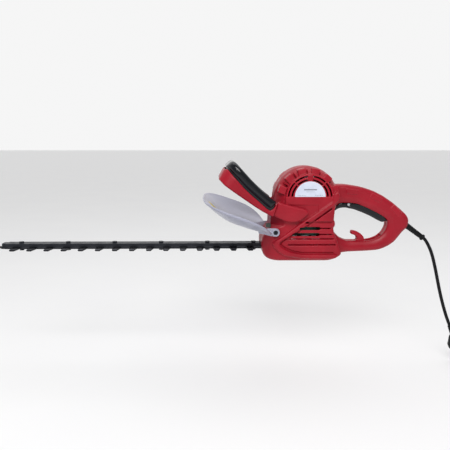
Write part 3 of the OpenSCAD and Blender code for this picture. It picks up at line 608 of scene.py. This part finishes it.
def body_field(block, out):
    """The motor housing's outside, with the dome, the face panel and its ring, and the raised rib."""
    x, z = block.x, block.z
    half = BODY_OUT - 0.24 * np.maximum(0, -66 - x) ** 1.2
    low_taper = 0.10 * np.maximum(0, 12 - z) ** 1.5
    body = cross(outline(block, fillet(BODY, 6)), out - half + low_taper, 6)
    # The upper front corner falls away in plan above the guard's ear
    corner = ((-45 - x) * 0.62 + (out - BODY_OUT) - np.maximum(0, 71 - z) * 1.3) * 0.8
    body = cross(body, corner, 2)
    face = cross(outline(block, fillet(FACE, 2)), out - FACE_OUT, 1.4)
    ring = cross(rod_y(block, RING_X, RING_Z, RING_R), out - FACE_OUT, 1.6)
    bridge = bar_xz(block, RING_X - 4.6, RING_X + 4.6, RING_Z + 31, RING_Z + 43.6, 0.6)
    ring = join(ring, cross(bridge, out - BRIDGE_OUT, 0.8), 0.4)
    body = join(body, dome_field(block, out), 2.5)
    body = join(body, join(face, ring, 0.8), 1.2)
    rib = outline(block, fillet(RIB, 3.5))
    # Inside the rib's bend the body steps back beside it
    beside = np.maximum(outline(block, RIB_INSIDE), np.abs(rib - 1.4) - 1.4)
    body = carve(body, np.maximum(beside, 45.8 - out), 0.8)
    return join(body, cross(rib, out - RIB_OUT, 4.2), 1.0)


def grip_field(block, out):
    """The looped rear handle, with the cable hook that stands in its opening."""
    loop = outline(block, fillet(LOOP, 5))
    grip = cross(np.maximum(outline(block, fillet(HANDLE, 5)), -loop), out - GRIP_OUT, 9.0)
    # The grip turns in towards the opening, whose floor has a pocket behind the hook
    inward = np.clip(1 - loop / 14, 0, 1)
    grip = np.maximum(grip, (out - GRIP_OUT + 5 * inward**2) * 0.85)
    grip = carve(grip, np.maximum(outline(block, ARM_POCKET), out - POCKET_OUT), 0.4)
    hook = cross(outline(block, fillet(HOOK, 2)), out - HOOK_OUT, 2.4)
    return join(grip, hook, 2.5)


def vents(block, out):
    """Two rows of arc-shaped slots round the upper half of the face ring."""
    dx, dz = block.x - RING_X, block.z - RING_Z
    rho = np.hypot(dx, dz)
    (inner_r, inner_half), (outer_r, outer_half) = VENT_ROWS
    rows = np.minimum(np.abs(rho - inner_r) - inner_half, np.abs(rho - outer_r) - outer_half)
    rows = np.maximum(rows, 126 - block.z)
    rows = np.maximum(rows, 5.2 - np.abs(dx))
    rows = np.maximum(rows, 1.3 - np.abs(np.abs(dx) - dz) * 0.707)
    return np.maximum(rows, VENT_FLOOR - out)


def louvres(block, out):
    """Two open louvres, and the shallow grooves that carry on from them and repeat below."""
    cut = np.maximum(bar_xz(block, -7, 47, 74.5, 78.2, 0.4), 46.2 - out)
    for x0, x1, z0 in LOUVRES:
        slot = bar_xz(block, x0, x1, z0 - 2.9, z0 + 2.9, 1.0)
        cut = np.minimum(cut, np.maximum(slot, VENT_FLOOR - out))
    for x0, x1, z0 in GROOVES:
        groove = bar_xz(block, x0, x1, z0 - 3, z0 + 3, 0.6)
        deep = 45.4 + np.abs(block.z - z0) * 1.1
        cut = np.minimum(cut, np.maximum(groove, (deep - out) * 0.7))
    return cut


def cord_bore(block):
    """The bore that the cord's sleeve sits in."""
    axis = np.array([math.cos(EXIT_SLOPE), -math.sin(EXIT_SLOPE)])
    dx, dz = block.x - CORD_EXIT[0], block.z - CORD_EXIT[1]
    along = dx * axis[0] + dz * axis[1]
    over = dz * axis[0] - dx * axis[1]
    return np.maximum(np.hypot(over, block.y) - 7.4, np.maximum(-9 - along, along - 8))


def housing_field(block, side):
    """One half of the housing, as a hollow shell with its cuts. The right half has the screws' heads."""
    out = -block.y
    outer = join(body_field(block, out), grip_field(block, out), 7)
    shell = carve(outer, vents(block, out), 0.5)
    shell = carve(shell, louvres(block, out), 0.5)
    # A shallow step on the face panel, and the guard ear's seat
    panel = np.maximum(bar_xz(block, -46, 17, 60, 110, 0.3), 50.9 - out)
    shell = carve(shell, np.maximum(panel, -outline(block, fillet(RIB, 3.5))), 0.4)
    shell = carve(shell, np.maximum(rod_y(block, *GUARD_PIVOT, 10.6), 47.2 - out), 0.4)
    for x, z, angle in GRIP_PADS:
        pad = np.maximum(tilted_bar(block, x, z, 12, 4.6, angle), out - PAD_OUT)
        shell = join(shell, np.maximum(pad, 12 - out), 0.3)
    hollow = outer + WALL
    for x, z in HOUSING_SCREWS:
        hollow = np.maximum(hollow, -rod_y(block, x, z, SCREW_BOSS_R))
    shell = carve(shell, hollow, 0.4)
    # Webs at the seam beside the upper bearing, without which one could see through the cap's vents
    for x0, x1 in ((-48, -17), (17, 48)):
        web = np.maximum(bar_xz(block, x0, x1, 146.5, 168, 0.5), out - 2.5)
        shell = np.minimum(shell, np.maximum(web, outer + 1))
    shell = carve(shell, np.maximum(outline(block, TRIGGER_POCKET), out - TRIGGER_HALF - 0.6), 0.6)
    # The mouth that the blades come out of
    mouth = np.maximum(np.maximum(block.x + 60, out - 13.2), np.abs(block.z - 22.2) - 8.2)
    shell = carve(shell, mouth, 0.8)
    shell = carve(shell, cord_bore(block), 0.6)
    if side == RIGHT:
        for x, z in HOUSING_SCREWS:
            head = GRIP_HEAD if x > GRIP_FROM else BODY_HEAD
            shell = carve(shell, np.maximum(rod_y(block, x, z, SCREW_HEAD_R), head - out), 0.5)
    # The seam, with a fine V where the two halves meet
    shell = np.maximum(shell, 0.12 - out)
    return np.maximum(shell, (outer - out + 0.9) * 0.707)


def make_housing():
    """The two shells. Both are worked out on the left side, and the right one is then mirrored."""
    block = Block((-92, -56, -3), (210, 1, 187), 1.0)
    for side, name, node in ((LEFT, "left_housing", "left_shell"), (RIGHT, "right_housing", "right_shell")):
        vertices, quads = relaxed(*net(block, housing_field(block, side)), 1)
        if side == RIGHT:
            vertices, quads = mirrored(vertices, quads)
        add_mesh(name, place(vertices), quads, ["red_plastic"], "tool", [node])


# ---- Front handle ----------------------------------------------------------------

TRAY = [
    (-70, 90.5), (-74.5, 91), (-92, 100.5), (-109, 111.5), (-127, 124), (-145, 136.5), (-161, 148),
    (-172, 159), (-162, 178), (-155, 178), (-145, 166), (-135, 155), (-125, 143.5), (-112.5, 131.5),
    (-98, 119), (-88, 110), (-81, 104), (-76, 101.5), (-70, 105), (-62, 115.5),
]
TRAY_INSIDE = [
    (-72, 93.6), (-75, 94), (-90.5, 103), (-107.5, 114), (-125.5, 126.5), (-143.5, 139), (-159.5, 150.6),
    (-169, 159.8), (-161, 175), (-150, 200), (-130, 200), (-100, 165), (-60, 123), (-70, 104),
]
BAR = [
    (-162, 181.6), (-155.5, 187.6), (-149.5, 191.8), (-144, 192.3), (-138.6, 189), (-131, 180.5),
    (-113, 160.5), (-96, 143.5), (-78, 127.5), (-63.6, 116.2), (-71.2, 106.6), (-74.5, 104.3), (-80, 107),
    (-88, 113.4), (-98, 122.2), (-112.5, 134.8), (-125, 146.8), (-135, 158.4), (-145, 170.2), (-154, 180.8),
]
SKIRT = [
    (-157.5, 184), (-139, 184), (-113, 155), (-96, 138), (-78, 122), (-66.5, 113), (-68.5, 106), (-71, 99),
    (-73, 95.2), (-77, 96.5), (-88, 106), (-109, 123.5), (-127, 141), (-145, 160.5), (-156, 173),
]
FOOT = [
    (-71, 91.5), (-60.6, 117), (-56, 115.6), (-34.5, 109.2), (-9, 103), (-3.2, 99.5), (-2.6, 95), (-10, 87),
    (-18, 81.6), (-27, 78.3), (-38, 78.6), (-50, 81.6), (-60, 86),
]
BAR_PIVOT = (-74, 98.8)
BAIL_SLOPE = math.radians(38)
BAIL_FAR, BAIL_HALF, BAIL_LEG, BAIL_TOP = 118.5, 68.0, 16.0, 20.0
OUTER_CORNER, INNER_CORNER = 34, 18
FOOT_Y, FOOT_HALF = 57.1, 4.9  # each side foot's middle and half thickness


def bail(block, shrink=0.0, far=BAIL_FAR):
    """The U that the handle makes when seen square to its slope."""
    across = np.abs(block.y)
    up = (block.z - BAR_PIVOT[1]) * math.sin(BAIL_SLOPE) - (block.x - BAR_PIVOT[0]) * math.cos(BAIL_SLOPE)

    def rounded_end(far, half, radius):
        u, v = up - (far - radius), across - (half - radius)
        return np.hypot(np.maximum(u, 0), np.maximum(v, 0)) + np.minimum(np.maximum(u, v), 0) - radius

    outer = rounded_end(far - shrink, BAIL_HALF - shrink, OUTER_CORNER - shrink)
    inner = rounded_end(BAIL_FAR - BAIL_TOP + shrink, BAIL_HALF - BAIL_LEG + shrink, INNER_CORNER)
    return np.maximum(outer, -inner)


def make_front_handle():
    """The red tray with its two feet, and the black bar that swings in it."""
    block = Block((-176, -71, 75), (-1, 71, 185), 1.0)
    tray = cross(outline(block, fillet(TRAY, 1.4)), bail(block), 2.4)
    channel = np.maximum(outline(block, TRAY_INSIDE), bail(block, 2.6))
    slab = np.abs(np.abs(block.y) - FOOT_Y) - FOOT_HALF
    foot = cross(outline(block, fillet(FOOT, 7)), slab, 5.0)
    # The foot's face curves in towards its lower edge
    fall = (np.abs(block.y) - FOOT_Y - FOOT_HALF + 0.0065 * np.maximum(0, 104 - block.z) ** 2) * 0.96
    foot = cross(foot, fall, 1.0)
    field = join(carve(tray, channel, 0.5), foot, 0.8)
    vertices, quads = relaxed(*net(block, field), 2)
    add_mesh("front_handle_tray", place(vertices), quads, ["red_plastic"], "tool", ["front_handle"])
    block = Block((-166, -71, 92), (-60, 71, 196), 1.0)
    bar = cross(outline(block, fillet(BAR, 3)), bail(block, far=BAIL_FAR + 2.5), 7.5)
    skirt = np.maximum(outline(block, SKIRT), bail(block, 3.2))
    field = join(bar, skirt, 0.6)
    vertices, quads = relaxed(*net(block, field), 4)
    add_mesh("front_switch_handle", place(vertices), quads, ["black_plastic"], "front_switch_bar",
             ["front_switch_bar"])


# ---- Hand guard ------------------------------------------------------------------

GUARD_X, GUARD_DEPTH, GUARD_T, RUN_ON = -136.5, 28.0, 2.6, 76.0
RIM_INSET = 1.4  # leaves room for the rim's bead inside the guard's outer size
PLAN_LEN, PLAN_HALF = 66.0 - RIM_INSET, 142.0 - RIM_INSET
RIM_X, RIM_Z, RIM_FALL = -80, 78, 0.35  # a point on the rim's plane, and how steeply that falls to the back
BOWL_CURVE, BEAD_R = 1.7, 2.2
EAR_Y, EAR_HALF, BOSS_Y, BOSS_HALF, BOSS_R = 50, 1.5, 51.8, 3.9, 7.5
EAR = [
    (-98, 56), (-92, 61), (-84, 64), (-76, 65.4), (-68, 65), (-60, 63.8), (-56.2, 60.5), (-56, 55),
    (-60, 50.8), (-66, 49.8), (-76, 51), (-86, 54),
]


def plan_norm(u, v, u_scale, v_scale):
    """A rounded rectangle's norm, 1 on its edge, and how much it grows in a millimetre."""
    size = np.maximum((np.abs(u) ** 3 + np.abs(v) ** 3) ** (1 / 3), 1e-3)
    slope = np.hypot((u / size) ** 2 / u_scale, (v / size) ** 2 / v_scale)
    return size, np.maximum(slope, 1e-4)


def bowl_middle(x, y):
    """The level of the middle of the bowl's wall, and the wall's upright depth over its thickness."""
    length = np.where(x < GUARD_X, PLAN_LEN, PLAN_LEN + RUN_ON)
    t, t_slope = plan_norm((x - GUARD_X) / length, y / PLAN_HALF, length, PLAN_HALF)
    rim = RIM_Z - (x - RIM_X) * RIM_FALL
    middle = rim - (GUARD_DEPTH + GUARD_T / 2) * (1 - np.minimum(t, 1) ** BOWL_CURVE)
    steep = BOWL_CURVE * GUARD_DEPTH * t ** (BOWL_CURVE - 1) * t_slope
    return middle, np.sqrt(1.12 + steep**2)  # 1.12 is 1 plus the rim's fall squared


def make_guard():
    """The guard's bowl with a bead round its rim, and the two ears that bolt to the housing."""
    block = Block((-210, -145, 44), (-53, 145, 129), 1.15)
    x, y, z = block.x, block.y, block.z
    plan, plan_slope = plan_norm((x - GUARD_X) / PLAN_LEN, y / PLAN_HALF, PLAN_LEN, PLAN_HALF)
    floor, stretch = bowl_middle(x, y)
    bowl = np.abs(z - floor) / stretch - GUARD_T / 2
    edge = (plan - 1) / plan_slope
    bowl = cross(bowl, edge, 1.0)
    bead = np.hypot(edge + 1.0, (z - floor) * 0.9) - BEAD_R
    bowl = join(bowl, bead, 1.5)
    # The notch that the housing stands in
    notch = np.maximum(-97 - x, np.abs(y) - 48.4)
    bowl = np.maximum(bowl, -notch)
    across = np.abs(y)
    plate = cross(outline(block, fillet(EAR, 4)), np.abs(across - EAR_Y) - EAR_HALF, 0.8)
    boss = cross(rod_y(block, *GUARD_PIVOT, BOSS_R), np.abs(across - BOSS_Y) - BOSS_HALF, 1.2)
    ear = join(plate, boss, 3)
    field = join(bowl, ear, 3)
    field = carve(field, np.maximum(rod_y(block, *GUARD_PIVOT, 4.4), 52 - across), 0.4)
    vertices, quads = relaxed(*net(block, field), 16)
    add_mesh("hand_guard", place(vertices), quads, ["guard_plastic"], "tool", ["guard"])


def make_sticker():
    """A plain yellow label that lies in the bowl, following its floor."""
    long, wide, half_thick, rows, columns = 22, 28, 0.3, 12, 15
    corner, way = (-192.3, 2.1), (0.846, 0.534)
    a, b = np.meshgrid(np.linspace(0, long, rows), np.linspace(0, wide, columns), indexing="ij")
    x, y = corner[0] + way[0] * a + way[1] * b, corner[1] + way[1] * a - way[0] * b
    middle, stretch = bowl_middle(x, y)
    top = middle + stretch * GUARD_T / 2 + half_thick
    vertices = [np.stack([x, y, z], -1).reshape(-1, 3) for z in (top, top - 2 * half_thick)]
    under = rows * columns
    faces = []
    for i in range(rows - 1):
        for j in range(columns - 1):
            cell = [i * columns + j, (i + 1) * columns + j, (i + 1) * columns + j + 1, i * columns + j + 1]
            faces += [tuple(cell[::-1]), tuple(k + under for k in cell)]
    edge = [i * columns for i in range(rows)] + [(rows - 1) * columns + j for j in range(1, columns)]
    edge += [i * columns + columns - 1 for i in range(rows - 2, -1, -1)] + list(range(columns - 2, 0, -1))
    for here, ahead in zip(edge, edge[1:] + edge[:1]):
        faces.append((here, ahead, ahead + under, here + under))
    add_mesh("guard_label", place(np.concatenate(vertices)), faces, ["sticker"], "tool")


# ---- Trigger ---------------------------------------------------------------------

TRIGGER = [
    (54.5, 92.5), (59, 93.5), (66, 98.5), (78, 100), (97, 96), (114, 89.5), (131, 82), (144, 74.6),
    (153.5, 70.2), (160, 72), (163.5, 76), (157, 86), (140, 96), (119, 106), (101, 110), (69, 110),
    (57, 102), (53.5, 96),
]
TRIGGER_PIN = (85, 106)


def make_trigger():
    """The long rear trigger."""
    block = Block((51, -13, 67), (166, 13, 112), 0.8)
    field = cross(outline(block, fillet(TRIGGER, 4)), np.abs(block.y) - TRIGGER_HALF, 3.6)
    # A recess round each end of the pin
    field = carve(field, np.maximum(rod_y(block, *TRIGGER_PIN, 4.2), 10.2 - np.abs(block.y)), 0.4)
    vertices, quads = net(block, field)
    add_mesh("trigger_lever", place(vertices), quads, ["black_plastic"], "trigger", ["trigger"])


# ---- Blades ----------------------------------------------------------------------

TOOTH_PITCH, TEETH, TOOTH_REACH, BLADE_HALF, BLADE_T = 33.0, 15, 35.0, 12.0, 2.0
FIRST_TOOTH, ROOT_HALF, TIP_HALF, BLADE_TIP = -571.7, 8.0, 5.0, -611.0
GEAR_X, YOKE_X, YOKE_Y, YOKE_RIM = -36.0, 24.1, 18.1, 4.0
BOLTS = [-565 + 92.6 * i for i in range(6)]
SLOT_RUN, SLOT_R = 6.3, 2.55  # how far a slot lets its bolt run to either side, and the slot's end radius
UPPER_Z, LOWER_Z = 20.7, 18.6  # the level of each blade's underside


def blade_outline(bevel):
    """The blade's outer edge; bevel moves the teeth's edges in, as grinding does."""
    half = [(BLADE_TIP + bevel, 0), (BLADE_TIP + 9, 9 - bevel * 0.5), (-588, BLADE_HALF - bevel * 0.3)]
    for i in range(TEETH):
        x = FIRST_TOOTH + TOOTH_PITCH * i
        half += [(x - ROOT_HALF + bevel, BLADE_HALF), (x - TIP_HALF + bevel, TOOTH_REACH - bevel * 0.7),
                 (x + TIP_HALF - bevel, TOOTH_REACH - bevel * 0.7), (x + ROOT_HALF - bevel, BLADE_HALF)]
    front, back = GEAR_X - YOKE_X - YOKE_RIM, GEAR_X + YOKE_X + YOKE_RIM
    wide = YOKE_Y + YOKE_RIM
    half += [(front, BLADE_HALF), (front, wide), (back, wide)]
    return half + [(x, -y) for x, y in reversed(half[1:])]


def slot_outline(x, half_long, half_wide, radius):
    """A rounded rectangle about (x, 0), run the other way round so that it makes a hole."""
    out, steps = [], 8
    for sx, sy, a in ((1, 1, 0), (-1, 1, 90), (-1, -1, 180), (1, -1, 270)):
        for i in range(steps + 1):
            t = math.radians(a + 90 * i / steps)
            out.append((x + sx * (half_long - radius) + radius * math.cos(t),
                        sy * (half_wide - radius) + radius * math.sin(t)))
    return out[::-1]


def make_blade(name, node, z0, up):
    """A blade plate with ground teeth. up is 1 where the ground bevels are on top."""
    holes = [slot_outline(x, SLOT_RUN + SLOT_R, SLOT_R, SLOT_R - 0.001) for x in BOLTS]
    holes.append(slot_outline(GEAR_X, YOKE_X, YOKE_Y, 10))
    flat, ground = (z0, z0 + BLADE_T) if up > 0 else (z0 + BLADE_T, z0)
    land = flat + up * 0.7
    levels = [(flat, 0.0), (land, 0.0), (ground, 1.3)]  # each level's height, and how far it is ground back
    vertices, faces, marks, rings = [], [], [], []
    for z, bevel in levels:
        loops = []
        for loop in [blade_outline(bevel), *holes]:
            loops.append(list(range(len(vertices), len(vertices) + len(loop))))
            vertices += [(x, y, z) for x, y in loop]
        rings.append(loops)
    for level in (0, 1):
        for number, (a, b) in enumerate(zip(rings[level], rings[level + 1])):
            for i in range(len(a)):
                j = (i + 1) % len(a)
                quad = (a[i], a[j], b[j], b[i])
                faces.append(quad if up > 0 else quad[::-1])
                marks.append(1 if number == 0 and level == 1 else 0)
    for level, turned in ((0, up > 0), (2, up < 0)):
        order = [i for loop in rings[level] for i in loop]
        flat_loops = [[Vector(vertices[i]) for i in loop] for loop in rings[level]]
        for triangle in tessellate_polygon(flat_loops):
            corner = [order[i] for i in triangle]
            a, b, c = (Vector(vertices[i]) for i in corner)
            if ((b - a).cross(c - a).z < 0) != turned:
                corner = corner[::-1]
            faces.append(tuple(corner))
            marks.append(0)
    add_mesh(name, place(vertices), faces, ["blade_steel", "ground_edge"], node, [node], indices=marks,
             smooth=False)


# ---- Cord's fittings -------------------------------------------------------------


def make_sleeve():
    """The tapered sleeve that the cord leaves the housing through."""
    along = (math.cos(EXIT_SLOPE), 0, -math.sin(EXIT_SLOPE))
    profile = [(-8, 6.0), (-8, 6.9), (0, 6.9), (1.2, 6.9), (2.0, 6.3)]
    # Shallow rings near the housing let the sleeve bend
    for i in range(6):
        s = 4 + 4.2 * i
        r = 6.25 - 1.6 * s / 44
        profile += [(s, r), (s + 1.0, r - 0.55), (s + 2.0, r - 0.6), (s + 3.0, r - 0.1)]
    profile += [(30, 5.2), (42.6, 4.75), (43.4, 5.0), (43.8, 6.1), (44.6, 6.4), (46.2, 6.4)]
    profile += [(47, 5.9), (47, 3.2)]
    vertices, faces = lathe(profile, (CORD_EXIT[0], 0, CORD_EXIT[1]), along)
    add_mesh("cord_sleeve", vertices, faces, ["cord_rubber"], "tool", ["strain_relief"])


def make_plug():
    """The two-pin plug on the cord's end, in line with the cord's last stretch."""
    (before_x, before_z), (end_x, end_z) = CORD_ROUTE[-2:]
    start = Vector((end_x, 0, end_z))
    way = Vector((end_x - before_x, 0, end_z - before_z)).normalized()
    length, pin_y = 48, 9.5
    profile = [(0, 3.2), (0.2, 4.4)]
    # The ribs of its bend relief
    for i in range(5):
        s = 1.5 + 3.8 * i
        r = 4.7 + 0.05 * s
        profile += [(s, r), (s + 1.8, r), (s + 2.3, r - 0.8), (s + 3.2, r - 0.8)]
    profile += [(21, 5.7), (22, 8.0), (24, 9.6), (30, 12.6), (36, 15.4), (38, 16.6), (39.5, 17.5)]
    profile += [(46.6, 17.5), (47.6, 17.0), (length, 16.2), (length, 0)]
    vertices, faces = lathe(profile, tuple(start), way, 56)
    plug = add_mesh("plug_body", vertices, faces, ["cord_rubber"], "tool", ["plug"])
    profile = [(-0.5, 2.0), (-0.5, 2.4), (9, 2.4), (9.2, 2.3), (16.5, 2.38), (18.2, 1.9), (19, 1.0), (19, 0)]
    vertices, faces = [], []
    for side in (LEFT, RIGHT):
        foot = start + way * length + Vector((0, 1, 0)) * pin_y * side
        pin_vertices, pin_faces = lathe(profile, tuple(foot), way, 24)
        faces += [tuple(i + len(vertices) for i in face) for face in pin_faces]
        vertices += list(pin_vertices)
    return plug, add_mesh("plug_contacts", vertices, faces, ["nickel_plate"], "tool", ["plug_pins"])


make_housing()
make_front_handle()
make_guard()
make_sticker()
make_trigger()
make_blade("upper_cutter", "upper_blade", UPPER_Z, 1)
make_blade("lower_cutter", "lower_blade", LOWER_Z, -1)
make_sleeve()
plug_piece, pin_piece = make_plug()

# ---- CAD nodes that show as they are ---------------------------------------------

slot_of = {s["node"]: s["material_slot"] for s in frame["record"]["subparts"]}
for node_name, node in frame["nodes"].items():
    node.data.materials.clear()
    node.data.materials.append(finishes[slot_of[node_name]])

# ---- Studio ----------------------------------------------------------------------


def area_light(name, location, target, size, power, colour):
    """A rectangular light that faces a target."""
    data = bpy.data.lights.new(name, "AREA")
    data.shape, data.size, data.size_y = "RECTANGLE", *size
    data.energy, data.color = power, colour
    light = bpy.data.objects.new(name, data)
    light.location = location
    light.rotation_euler = (Vector(target) - Vector(location)).to_track_quat("-Z", "Y").to_euler()
    bpy.context.scene.collection.objects.link(light)


def make_studio():
    """Two lights, the room's glow and a pale floor."""
    middle = (-0.12, 0, -0.02)
    area_light("key", (-0.45, -1.5, 1.25), middle, (1.5, 0.9), 30, (1, 0.99, 0.98))
    area_light("top", (-0.1, 0.5, 1.9), middle, (2.4, 1.2), 12, (0.97, 0.98, 1))
    world = bpy.data.worlds.new("studio")
    world.use_nodes = True
    nodes, links = world.node_tree.nodes, world.node_tree.links
    background = nodes["Background"]
    background.inputs["Color"].default_value = (1, 1, 1, 1)
    # The room is pale behind the tool and dimmer in front of it
    split = nodes.new("ShaderNodeSeparateXYZ")
    links.new(nodes.new("ShaderNodeTexCoord").outputs["Generated"], split.inputs["Vector"])
    links.new(span(nodes, links, split.outputs["Y"], -0.2, 0.7, 0.32, 0.92), background.inputs["Strength"])
    bpy.context.scene.world = world
    size, level = 70.0, -0.345  # the floor lies just below the hanging plug
    corners = [(-size, -size, level), (size, -size, level), (size, size, level), (-size, size, level)]
    mesh = bpy.data.meshes.new("floor")
    mesh.from_pydata(corners, [], [(0, 1, 2, 3)])
    material, nodes, links, shader, where = new_material("floor")
    base = blend_colour(nodes, links, noise(nodes, links, where, 3), (0.52, 0.52, 0.53), (0.56, 0.56, 0.56))
    links.new(base, shader.inputs["Base Color"])
    socket(shader, "Roughness", 0.7)
    socket(shader, "Emission Color", (1, 1, 1, 1))
    socket(shader, "Emission Strength", 0.35)
    mesh.materials.append(material)
    floor = bpy.data.objects.new("floor", mesh)
    bpy.context.scene.collection.objects.link(floor)


make_studio()
bpy.context.scene.view_settings.view_transform = "Standard"
